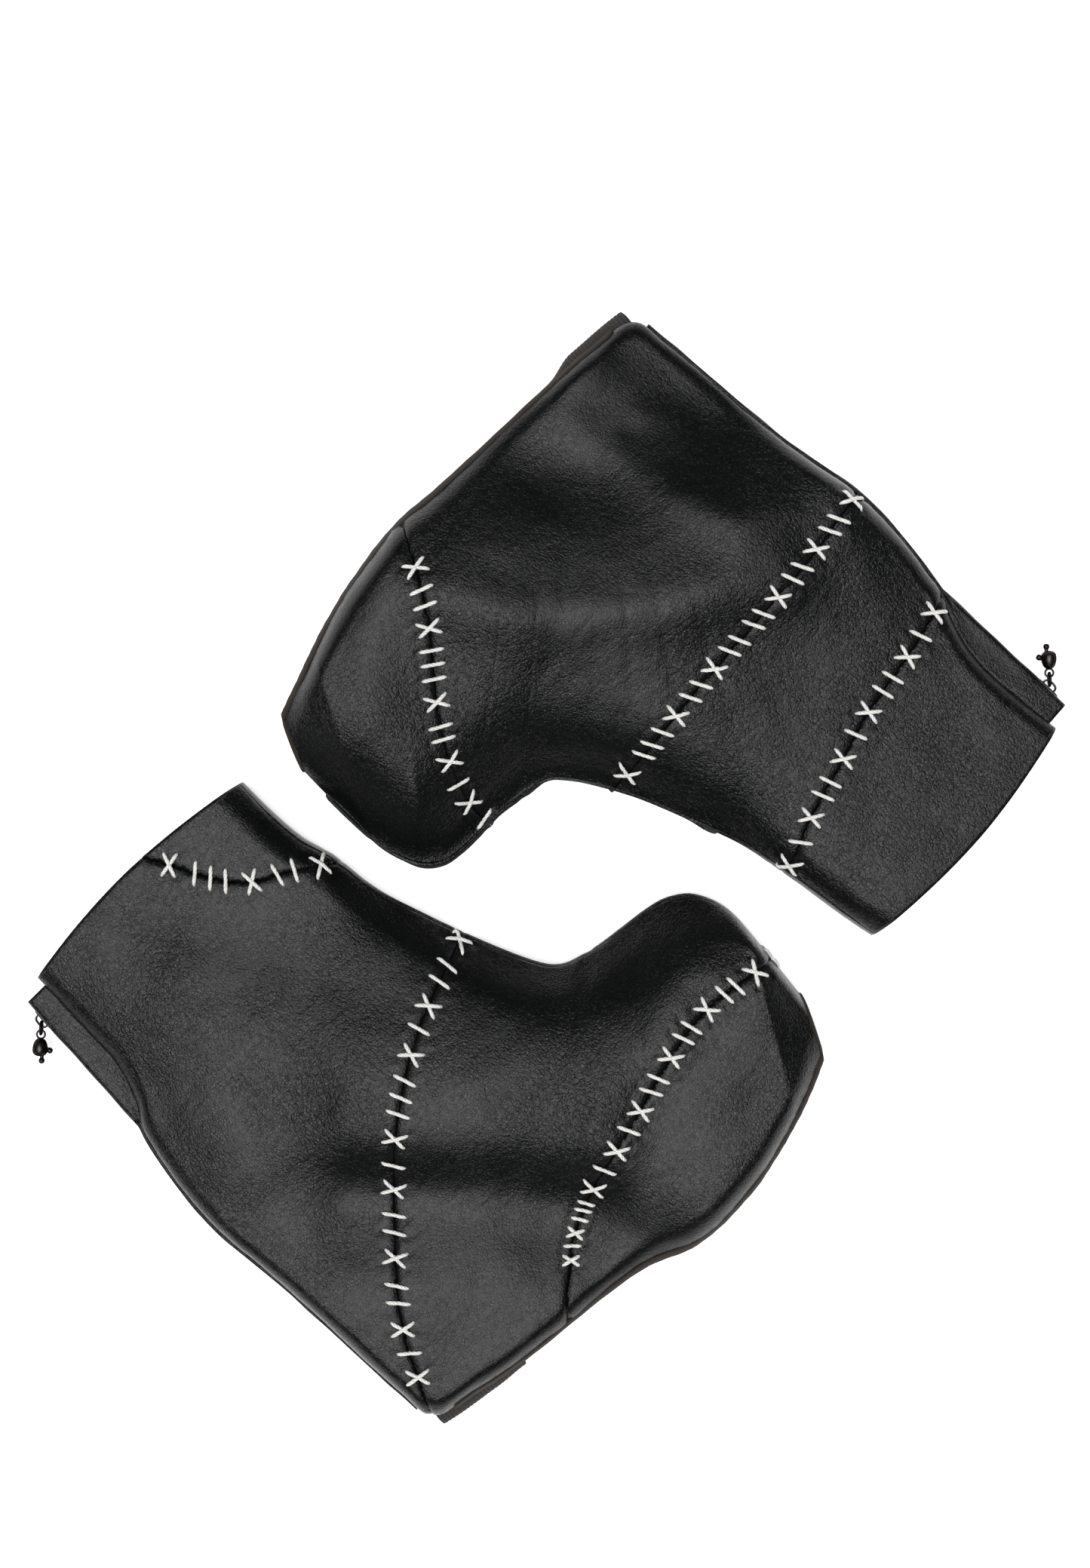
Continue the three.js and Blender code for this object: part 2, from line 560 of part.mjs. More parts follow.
// A bell-shaped body with an eye at its top and two short round-ended knobs.
function charm() {
  const eyeHole = WIRE / 2 + SLIDER_CLEARANCE + 0.3;
  const eyeRim = 0.9;
  const eye = new THREE.Shape();
  eye.absarc(0, 0, eyeHole + eyeRim, 0, 2 * Math.PI, false);
  const hole = new THREE.Path();
  hole.absarc(0, 0, eyeHole, 0, 2 * Math.PI, true);
  eye.holes.push(hole);
  const ring = new THREE.ExtrudeGeometry(eye, { depth: 1.2, bevelEnabled: false, curveSegments: 8 });
  ring.translate(0, 0, -0.6);
  const neck = eyeHole + 0.3;
  const profile = [[0, neck], [1, neck], [2.1, neck + 1.6], [2.9, neck + 4], [CHARM_RADIUS, neck + 6.5],
    [2.8, neck + 8.5], [1.6, neck + 9.6], [0, neck + 10]];
  const belly = new THREE.LatheGeometry(profile.map(([r, y]) =>
    new THREE.Vector2(r, neck + (y - neck) * CHARM_LENGTH / 11)), 12);
  belly.rotateZ(-Math.PI / 2);
  const knob = (angle, x, y) => {
    const capsule = new THREE.CapsuleGeometry(KNOB_RADIUS, KNOB_LENGTH - KNOB_RADIUS, 3, 8);
    capsule.rotateZ(-Math.PI / 2);
    capsule.translate(KNOB_LENGTH / 2, 0, 0);
    capsule.rotateZ(angle);
    return capsule.translate(x, y, 0);
  };
  const end = neck + CHARM_LENGTH * 0.8;
  return joined(ring, belly, knob(0, end, -1), knob(-1.1, end - 3, -CHARM_RADIUS + 1.4));
}

// ---- one cover ----
function makeCover(cover) {
  const shape = makeShape(cover);
  const group = new THREE.Group();
  const add = (name, geometry, material, parent = group) => {
    if (!geometry.attributes.normal) geometry.computeVertexNormals();
    const mesh = new THREE.Mesh(geometry, material);
    mesh.name = name.startsWith(cover.name) ? name : `${cover.name}_${name}`;
    parent.add(mesh);
  };
  panels(cover, shape).forEach(([name, geometry]) => add(name, geometry, LEATHER()));
  [1, -1].forEach((side, i) => {
    add(`${cover.side[i]}_zip_strip`, strip(cover, shape, side), LEATHER());
    add(`${cover.side[i]}_zip_tape`, tape(cover, shape, side), ZIP_CLOTH());
    add(`${cover.side[i]}_zip_coil`, chain(cover, side), COIL());
    add(`${cover.side[i]}_zip_top_stop`, topStop(cover, side), METAL());
  });
  add('zip_bottom_stop', bottomStop(cover), METAL());
  add('sole_binding', binding(shape), BINDING());
  add('heel_strap', strap(), ELASTIC());
  const sliderFrame = sliderGroup(cover);
  group.add(sliderFrame);
  add('zip_slider', slider(), METAL(), sliderFrame);
  const pullFrame = new THREE.Group();
  pullFrame.position.set(PIVOT, 0, 0);
  pullFrame.rotation.z = -(Math.PI + PULL_ANGLE);
  sliderFrame.add(pullFrame);
  add('pull_loop', pullLoop(), METAL(), pullFrame);
  const charmFrame = new THREE.Group();
  charmFrame.position.set(LOOP_LENGTH - WIRE, 0, 0);
  pullFrame.add(charmFrame);
  add('pull_charm', charm(), METAL(), charmFrame);
  const place = scaled(cover.place);
  group.position.set(place.x, place.y, 0);
  group.rotation.z = cover.turn;
  return group;
}

// ---- the pair, with its origin under the middle of its box ----
const pair = new THREE.Group();
pair.add(makeCover(RIGHT_COVER), makeCover(LEFT_COVER));
pair.updateMatrixWorld(true);
const box = new THREE.Box3().setFromObject(pair, true);
const centre = box.getCenter(new THREE.Vector3());
pair.position.set(-centre.x, -centre.y, -box.min.z);

export default pair;
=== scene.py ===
"""A pair of figure-skating boot covers lying flat: leathercloth panels, cross stitches, zips and straps."""
import json
import math
import random

import bmesh
import bpy
import numpy as np
from mathutils import Matrix, Vector, noise
from mathutils.bvhtree import BVHTree

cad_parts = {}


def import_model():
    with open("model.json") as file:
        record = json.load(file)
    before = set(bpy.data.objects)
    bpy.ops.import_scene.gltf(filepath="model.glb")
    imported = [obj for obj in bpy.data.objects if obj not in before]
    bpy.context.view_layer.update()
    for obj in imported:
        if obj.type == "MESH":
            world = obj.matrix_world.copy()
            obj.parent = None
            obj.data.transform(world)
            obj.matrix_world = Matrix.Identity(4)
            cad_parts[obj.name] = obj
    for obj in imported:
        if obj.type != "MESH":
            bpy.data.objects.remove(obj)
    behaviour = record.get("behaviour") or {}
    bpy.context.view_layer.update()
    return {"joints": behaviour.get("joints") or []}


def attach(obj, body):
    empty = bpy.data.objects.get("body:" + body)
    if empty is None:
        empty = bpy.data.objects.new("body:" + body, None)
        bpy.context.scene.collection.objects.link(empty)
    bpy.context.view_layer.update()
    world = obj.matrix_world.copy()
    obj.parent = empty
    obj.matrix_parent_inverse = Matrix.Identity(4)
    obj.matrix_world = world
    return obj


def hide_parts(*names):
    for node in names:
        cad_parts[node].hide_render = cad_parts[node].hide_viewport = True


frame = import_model()

# Sizes are in millimetres in each cover's own frame: X from heel to toe, Y up the shaft, Z off the table.
MM = 0.001
SOLE_LENGTH = 246
SHAFT_HEIGHT = 262
SHAFT_RISE, INSTEP_RISE, TOE_RISE = 16, 22, 23
SHAFT_MIDDLE, TOE_MIDDLE = 12, 17
WALL = 1.4
GUSSET_HALF = 8.5
SEAM_INSET = 1.5
FRONT_ROLL = 15
NEAR_SWELL, FAR_SWELL = 8, 12  # how far in from the back edge each side reaches its full height
SOLE_SPREAD = 1.2  # how much further that is along the sole
CUFF_BOW = 6
BACK_RIM = 2.2  # how much of the zip strip shows beyond the near panels' back edge
ZIP_RADIUS = 1500
ZIP_CENTRE = 150
ZIP_BOTTOM, ZIP_TOP = 16, 249
BINDING_TUCK = 2.4  # how far in from the sole edge the panels stop, inside the folded tape
BINDING_SEEN = 3.8  # the folded tape's width
STRAP_WIDTH, STRAP_THICKNESS, STRAP_DROP, STRAP_TUCK, STRAP_START = 38, 1.4, 6.2, 5, 2
STRAP_ANGLE = math.radians(-10)
CHAIN_GAP, CHAIN_WIDTH, CHAIN_DEPTH = 0.6, 2.2, 1.8
COIL_PITCH = 1.5
TAPE_THICKNESS, TAPE_REACH = 0.5, 6
STRIP_THICKNESS, STRIP_BOTTOM, STRIP_START = 0.9, 8, 4.5
BACK_GAP = 1.3
SLIDER_LENGTH, SLIDER_HALF_WIDTH, SLIDER_HEIGHT = 11, 4, 243
PLATE = 0.8
OUTER_PLATE, INNER_PLATE = 2.3, -1.85
WIRE = 1.1
LOOP_LENGTH, LOOP_WIDTH = 6.8, 6
PIVOT = 4.15
PULL_ANGLE = math.radians(-46)
PANEL_CELLS = (300, 104)  # along the cover, and from the back edge to the front seam
LEFT_TURN = math.radians(184.9)  # how the left cover lies beside the right one
STRAP_TAPER = {"right": 0.3, "left": 0.85}  # how much further the strap's far end is pulled in
CROSS_HALF, BAR_HALF, CROSS_SPREAD = 6.7, 6.1, 31  # half lengths, and degrees from square to the seam
THREAD_HALF_WIDTH, THREAD_HALF_HEIGHT = 0.88, 0.7
SEWING_HALF_WIDTH, SEWING_HALF_HEIGHT = 0.32, 0.26
SEAM_DEPTH, SEAM_HALF_WIDTH = 0.7, 0.8
PUFF_HEIGHT, PUFF_PLACE, PUFF_HALF_WIDTH = 0.22, 5.0, 3.5  # the fuller rolls either side of a seam
HOLE_DEPTH, HOLE_RADIUS, THREAD_DENT, DENT_HALF_WIDTH = 0.4, 1.5, 0.15, 1.8
WAVE_HEIGHT, WAVE_SIZE, WRINKLE_HEIGHT, WRINKLE_SIZE = 0.55, 31.0, 0.22, 11.0
STEP_END_FADE = 16
ABOVE, BELOW = 80, -40  # levels clear of the covers, from which points are dropped onto them


# ---- shader maths
class Value:
    """A shader socket that builds Math nodes when it is used in an expression."""

    def __init__(self, shader, socket):
        self.shader = shader
        self.socket = socket

    def math(self, operation, other):
        return self.shader.node("ShaderNodeMath", {"operation": operation}, {0: self, 1: other})[0]

    def __add__(self, other):
        return self.math("ADD", other)

    def __mul__(self, other):
        return self.math("MULTIPLY", other)

    def __sub__(self, other):
        return self.math("SUBTRACT", other)

    def __rsub__(self, other):
        return self * -1 + other

    def between(self, low, high):
        """0 below low, 1 above high, smooth between them."""
        values = {"Value": self, "From Min": low, "From Max": high}
        return self.shader.node("ShaderNodeMapRange", {"interpolation_type": "SMOOTHSTEP"}, values)[0]

    __radd__ = __add__
    __rmul__ = __mul__


class Shader:
    """One material: a Principled shader and the nodes that feed it."""

    def __init__(self, name, **surface):
        self.material = bpy.data.materials.new(name)
        self.material.use_nodes = True
        self.tree = self.material.node_tree
        self.surface = self.tree.nodes["Principled BSDF"]
        for socket, value in surface.items():
            self.set(socket.replace("_", " "), value)
        place = self.node("ShaderNodeTexCoord")
        self.point = self.scale(place["Object"], 1 / MM)
        self.uv = place["UV"]

    @classmethod
    def on_tree(cls, tree):
        """The same node building on a tree that already exists."""
        shader = cls.__new__(cls)
        shader.tree = tree
        return shader

    def node(self, kind, settings=(), values=()):
        """A node by type, with its settings first and then its sockets' values or links."""
        node = self.tree.nodes.new(kind)
        for key, value in dict(settings).items():
            setattr(node, key, value)
        for key, value in dict(values).items():
            self.plug(node.inputs[key], value)
        return Outputs(self, node)

    def plug(self, socket, value):
        if isinstance(value, Value):
            self.tree.links.new(value.socket, socket)
        else:
            socket.default_value = value

    def set(self, socket, value):
        self.plug(self.surface.inputs[socket], value)

    def scale(self, vector, factors):
        factors = (factors,) * 3 if isinstance(factors, (int, float)) else factors
        return self.node("ShaderNodeVectorMath", {"operation": "MULTIPLY"}, {0: vector, 1: factors})[0]

    def wave(self, vector, scale, direction="X", distort=0.0, detail=2.0):
        values = {"Vector": vector, "Scale": scale, "Distortion": distort, "Detail": detail}
        return self.node("ShaderNodeTexWave", {"bands_direction": direction}, values)[1]

    def noise(self, vector, scale, detail=3, rough=0.5, distort=0):
        values = {"Vector": vector, "Scale": scale, "Detail": detail, "Roughness": rough}
        return self.node("ShaderNodeTexNoise", {}, {**values, "Distortion": distort})

    def cells(self, vector, scale):
        """Distance to the nearest border between cells."""
        values = {"Vector": vector, "Scale": scale}
        return self.node("ShaderNodeTexVoronoi", {"feature": "DISTANCE_TO_EDGE"}, values)[0]

    def colour(self, factor, low, high):
        """Gives the surface a colour from low at factor 0 to high at factor 1."""
        values = {0: factor, 6: (*low, 1), 7: (*high, 1)}
        self.set("Base Color", self.node("ShaderNodeMix", {"data_type": "RGBA"}, values)[2])

    def bump(self, height):
        """height is in millimetres."""
        values = {"Strength": 1.0, "Distance": MM, "Height": height}
        self.set("Normal", self.node("ShaderNodeBump", {}, values)[0])


class Outputs:
    """A node's outputs, as values."""

    def __init__(self, shader, node):
        self.shader = shader
        self.node = node

    def __getitem__(self, key):
        return Value(self.shader, self.node.outputs[key])


# ---- materials
def leathercloth():
    """Black grained leathercloth: small rounded cells with creases, longer pulls, and a satin face."""
    s = Shader("black leathercloth")
    drift = s.noise(s.point, 0.35, 2)["Color"]
    drifted = {0: drift, 1: (1.6, 1.6, 1.6), 2: s.point}
    bent = s.node("ShaderNodeVectorMath", {"operation": "MULTIPLY_ADD"}, drifted)[0]
    grain = s.cells(bent, 0.85).between(0.0, 0.28)
    fine = s.cells(bent, 2.1).between(0.0, 0.3)
    stretched = s.scale(s.point, (0.05, 0.13, 0.1))
    pull = s.noise(stretched, 1.0, 4, 0.55, 0.6)[0]
    patch = s.noise(s.point, 0.018, 3)[0].between(0.35, 0.7)
    creased = s.cells(s.scale(bent, (1, 0.6, 0.8)), 0.5).between(0.0, 0.24)
    s.bump(grain * (0.045 + 0.03 * patch) + fine * 0.014 + creased * (0.025 + patch * 0.07) + pull * 0.35)
    s.colour(grain * 0.7 + fine * 0.3, (0.0018, 0.0021, 0.0021), (0.0042, 0.0046, 0.0046))
    s.set("Roughness", 0.27 - grain * 0.05 + pull * 0.07)
    s.set("Specular IOR Level", 0.23)
    return s.material


def backing():
    """The knitted back of the leathercloth, seen inside the covers."""
    s = Shader("knitted backing", Roughness=0.95)
    weave = s.wave(s.point, 0.45, "X", 1.2) * s.wave(s.point, 0.35, "Y", 1.0)
    s.bump(weave * 0.15)
    s.colour(weave, (0.016, 0.016, 0.017), (0.035, 0.035, 0.036))
    return s.material


def binding_tape():
    """Matt brown-black tape folded over the sole edge, with a woven ridge across it."""
    s = Shader("binding tape", Roughness=0.9)
    weave = s.wave(s.uv, 0.9, "X", 0.6)
    fuzz = s.noise(s.point, 1.3, 3)[0]
    s.bump(weave * 0.1 + fuzz * 0.1)
    s.colour(weave * 0.5 + fuzz * 0.5, (0.012, 0.008, 0.005), (0.034, 0.024, 0.017))
    return s.material


def elastic():
    """Ribbed elastic: ribs along the band, fine cross threads."""
    s = Shader("ribbed elastic", Roughness=0.85)
    ribs = s.wave(s.uv, 0.33, "Y", 0.2)
    cross = s.wave(s.uv, 0.75, "X", 0.4)
    s.bump(ribs * 0.22 + cross * 0.08)
    s.colour(ribs * 0.7 + cross * 0.3, (0.014, 0.012, 0.011), (0.05, 0.045, 0.04))
    return s.material


def tape_cloth():
    """The zip's woven tape."""
    s = Shader("zip tape", Roughness=0.9)
    weave = s.wave(s.point, 0.8, "DIAGONAL")
    s.bump(weave * 0.08)
    s.colour(weave, (0.008, 0.008, 0.009), (0.02, 0.02, 0.021))
    return s.material


def coil_nylon():
    """Black nylon, shinier where the slider has rubbed it."""
    s = Shader("zip coil nylon")
    wear = s.noise(s.point, 0.6, 3)[0]
    s.colour(wear, (0.01, 0.01, 0.01), (0.026, 0.026, 0.027))
    s.set("Roughness", 0.34 + wear * 0.16)
    return s.material


def dark_nickel():
    """Black nickel plating with a warm tint, small scratches and brighter rubbed spots."""
    s = Shader("black nickel", Metallic=1.0, Specular_Tint=(0.2, 0.19, 0.18, 1))
    rub = s.noise(s.point, 0.5, 4, 0.6)[0].between(0.35, 0.75)
    scratch = s.noise(s.scale(s.point, (6, 0.5, 0.5)), 1.0, 4, 0.7)[0]
    s.colour(rub, (0.02, 0.018, 0.018), (0.075, 0.068, 0.065))
    s.set("Roughness", 0.26 + scratch * 0.2)
    s.bump(scratch * 0.02 + rub * 0.02)
    return s.material


def white_thread():
    """Thick off-white waxed thread: plies wound round it, and painted shade darkening the valleys between
    them.
    """
    s = Shader("off-white thread", Roughness=0.6)
    winding = s.wave(s.uv, 0.32, "DIAGONAL", 0.5)
    fibre = s.noise(s.point, 2.2, 3)[0]
    s.bump(winding * 0.16 + fibre * 0.08)
    # Painted shade: the colour is darker in the valleys between the plies, where the winding is low, and
    # lighter on their crests.
    painted_ply_shading = winding.between(0.0, 0.45) * 0.75 + fibre * 0.25
    s.colour(painted_ply_shading, (0.62, 0.6, 0.56), (0.92, 0.91, 0.89))
    return s.material


def black_thread():
    """Fine polyester sewing thread."""
    s = Shader("black sewing thread", Roughness=0.55)
    ply = s.noise(s.point, 3.0, 2)[0]
    s.colour(ply, (0.008, 0.008, 0.008), (0.03, 0.03, 0.03))
    return s.material


LEATHER = leathercloth()
BACKING = backing()
BINDING = binding_tape()
ELASTIC = elastic()
TAPE = tape_cloth()
COIL = coil_nylon()
NICKEL = dark_nickel()
THREAD = white_thread()
SEWING = black_thread()

# ---- the covers' shape
# Ribs from the back or sole edge to the front edge, from the cuff round to the toe: back point and
# front point in per cent of sole length and shaft height, place between shaft 0, instep 1 and toe 2.
RIGHT_RIBS = [
    (3.0, 98.0, 53.7, 98.0, 0), (3.0, 91.5, 53.8, 91.5, 0), (2.8, 84.7, 54.5, 84.7, 0),
    (2.6, 79.0, 56.3, 78.6, 0), (0.4, 72.3, 57.3, 71.6, 0.1), (-2.9, 66.0, 59.0, 65.5, 0.25),
    (-5.1, 49.6, 64.3, 52.0, 0.6), (-3.3, 30.5, 70.2, 40.6, 0.9), (-1.9, 8.0, 76.0, 37.7, 1),
    (-0.3, 0.2, 78.4, 37.2, 1), (8.1, -1.9, 80.8, 36.9, 1.1), (18.3, -3.6, 83.7, 36.6, 1.2),
    (42.7, -6.0, 89.8, 35.9, 1.4), (54.9, -9.8, 94.0, 34.7, 1.6), (67.1, -9.8, 97.6, 32.0, 1.8),
    (77.2, -7.6, 99.8, 26.7, 1.9), (86.2, -4.9, 99.6, 19.0, 2), (93.5, -1.9, 98.5, 8.0, 2),
]
LEFT_RIBS = [
    (4.7, 97.5, 54.5, 97.5, 0), (5.1, 91.5, 55.3, 91.5, 0), (5.2, 84.7, 55.9, 84.3, 0),
    (4.6, 79.0, 56.5, 78.6, 0), (2.4, 73.0, 57.4, 72.0, 0.1), (-0.6, 66.8, 59.0, 66.0, 0.25),
    (-3.5, 49.6, 63.8, 52.0, 0.6), (-1.8, 30.5, 70.2, 40.8, 0.9), (-1.5, 8.0, 76.0, 38.4, 1),
    (-0.3, 0.2, 78.4, 37.9, 1), (8.1, -1.9, 80.8, 37.4, 1.1), (18.3, -3.2, 83.7, 37.1, 1.2),
    (42.7, -5.7, 91.0, 36.6, 1.4), (54.9, -7.2, 95.0, 35.5, 1.6), (67.1, -6.5, 98.0, 32.4, 1.8),
    (77.2, -4.6, 99.6, 26.7, 1.9), (86.2, -2.3, 99.4, 19.0, 2), (93.5, -0.4, 98.5, 8.0, 2),
]
HEEL = 9 / 17  # the heel corner is the tenth of the eighteen ribs

# Seams in the same per cents, each running past the edges, with its rows of hand stitches: where the
# first and last stitch are in millimetres, the crosses and bars, how far the bars lean in degrees, and
# the stitches' size.
RIGHT_SEAMS = {
    "cuff": ([(27, 107), (33, 99.2), (38.9, 89.2), (43.2, 84.7), (49, 81.7), (56.1, 77.3), (65, 72)],
             [((84, 252), (132.7, 208), "X|||X||X", 10, 1)]),
    "ankle": ([(76, 58), (63.9, 54.5), (51.7, 50.3), (42.8, 46.3), (29.7, 37.7), (16.5, 25), (8.4, 15.5),
               (4, 7.6), (0, 0.3), (-5, -8)],
              [((152.7, 141.6), (10.5, 20), "X||X|X|||X|X||X||X|X", -13, 1)]),
    "toe": ([(112, 14), (100, 15.9), (86.5, 17.8), (76.2, 16.7), (63.8, 13.4), (49.7, 9.8), (40.8, 6),
             (36.7, 3.1), (30.6, -1.9), (26, -9)],
            [((243, 44), (120.9, 24.8), "|X||X||X||X|X|X", 10, 1),
             ((114, 23), (90.6, 8.5), "|||X|X", 8, 0.74)]),
}
LEFT_SEAMS = {
    "cuff": ([(-8, 67.5), (2.7, 69.4), (12.3, 71), (25.9, 72.4), (34.5, 74.2), (47, 76.8), (55, 79.2),
              (70, 80)],
             [((11.2, 183), (135.5, 208), "X|X||X|X||X|X", 6, 1)]),
    "ankle": ([(-12, 46), (0.6, 47.5), (18.9, 48.5), (37, 48.4), (49, 48.7), (61.7, 49), (80, 48.6)],
              [((-1.4, 123.6), (151.6, 128), "X||X||X|| ||X||X|||X", 20, 1)]),
    "toe": ([(49, -13), (54.2, -5.8), (59.6, 2.4), (64.8, 8.8), (73.7, 17.6), (77.8, 22.4), (81.7, 28.1),
             (83.7, 33.1), (84, 37.1), (84.5, 48)],
            [((143.9, 2.1), (207, 95), "X||X|||X||X|X|", 7, 1)]),
}

# Soft folds of the near side: lines in millimetres, each with a half width and a height. A ridge stands
# above the plain shape, or is a hollow if its height is negative. A step is higher on its line's left,
# or on its right if its height is negative.
RIGHT_RIDGES = [
    ([(52, 205), (72, 160), (100, 112), (140, 78), (179, 52)], 26, 3.5),
    ([(185, 50), (212, 62), (228, 38)], 12, 2.0),
    ([(160, 172), (170, 140), (180, 114), (190, 108), (208, 104), (232, 99), (250, 90)], 24, -19.5),
    ([(20, 60), (70, 25)], 24, 1.5),
    ([(175, 14), (222, 26)], 14, 1.0),
]
RIGHT_STEPS = [
    ([(54, 104), (80, 75), (104, 52), (122, 30)], 16, 12.0),
    ([(120, 34), (128, 10), (135, -16)], 20, 9.0),
    ([(16, 132), (52, 108)], 20, 4.0),
    ([(20, 255), (14, 190), (2, 140)], 15, 4.0),
]
LEFT_RIDGES = [
    ([(149, 10), (132, 47), (90, 92), (47, 122)], 16, 3.4),
    ([(136, 50), (178, 66)], 13, 0.9),
    ([(54, 10), (48, 57), (42, 93)], 10, 1.6),
    ([(162, 172), (171, 140), (180, 114), (190, 107), (208, 104), (232, 99), (250, 85), (256, 50)],
     29, -25.0),
    ([(118, -10), (135, -6)], 16, -3.0),
    ([(185, 12), (212, 30)], 18, 1.5),
]
LEFT_STEPS = [
    ([(114, -24), (86, 26), (52, 62), (-4, 88)], 36, -23.0),
    ([(22, -12), (15, 98)], 18, -8.0),
    ([(224, -10), (236, 64)], 10, 3.0),
]


def spline(points, t):
    """A smooth curve through evenly numbered points, at each t from 0 to 1."""
    points = np.asarray(points, float)
    place = np.clip(np.asarray(t, float), 0, 1) * (len(points) - 1)
    index = np.minimum(place.astype(int), len(points) - 2)
    w = (place - index).reshape(place.shape + (1,) * (points.ndim - 1))
    before = points[np.maximum(index - 1, 0)]
    start, end = points[index], points[index + 1]
    after = points[np.minimum(index + 2, len(points) - 1)]
    leave, arrive = (end - before) / 2, (after - start) / 2
    cubic = (2 * start - 2 * end + leave + arrive) * w**3
    return cubic + (3 * end - 3 * start - 2 * leave - arrive) * w**2 + leave * w + start


def smoothstep(x, low, high):
    x = np.clip((np.asarray(x, float) - low) / (high - low), 0, 1)
    return x * x * (3 - 2 * x)


def scaled(points):
    return np.asarray(points, float)[..., :2] * (SOLE_LENGTH / 100, SHAFT_HEIGHT / 100)


def line_distance(points, line):
    """Distance from a line of segments, and from the nearest one's straight run, positive on its left."""
    line = np.asarray(line, float)
    best, signed = np.full(len(points), 1e9), np.zeros(len(points))
    for start, end in zip(line[:-1], line[1:]):
        distance = segment_distance(points, start, end)
        along = end - start
        cross = along[0] * (points[:, 1] - start[1]) - along[1] * (points[:, 0] - start[0])
        closer = distance < best
        best = np.where(closer, distance, best)
        signed = np.where(closer, cross / np.linalg.norm(along), signed)
    return best, signed


def unit(vectors):
    """Each row at length one."""
    return vectors / np.linalg.norm(vectors, axis=1)[:, None]


def line_steps(line):
    """Distance travelled along a line at each of its points."""
    return np.concatenate([[0], np.cumsum(np.linalg.norm(np.diff(line, axis=0), axis=1))])


def segment_distance(points, start, end):
    start, end = np.asarray(start, float), np.asarray(end, float)
    along = end - start
    share = np.clip(((points - start) @ along) / (along @ along), 0, 1)
    return np.linalg.norm(points - start - share[:, None] * along, axis=1)


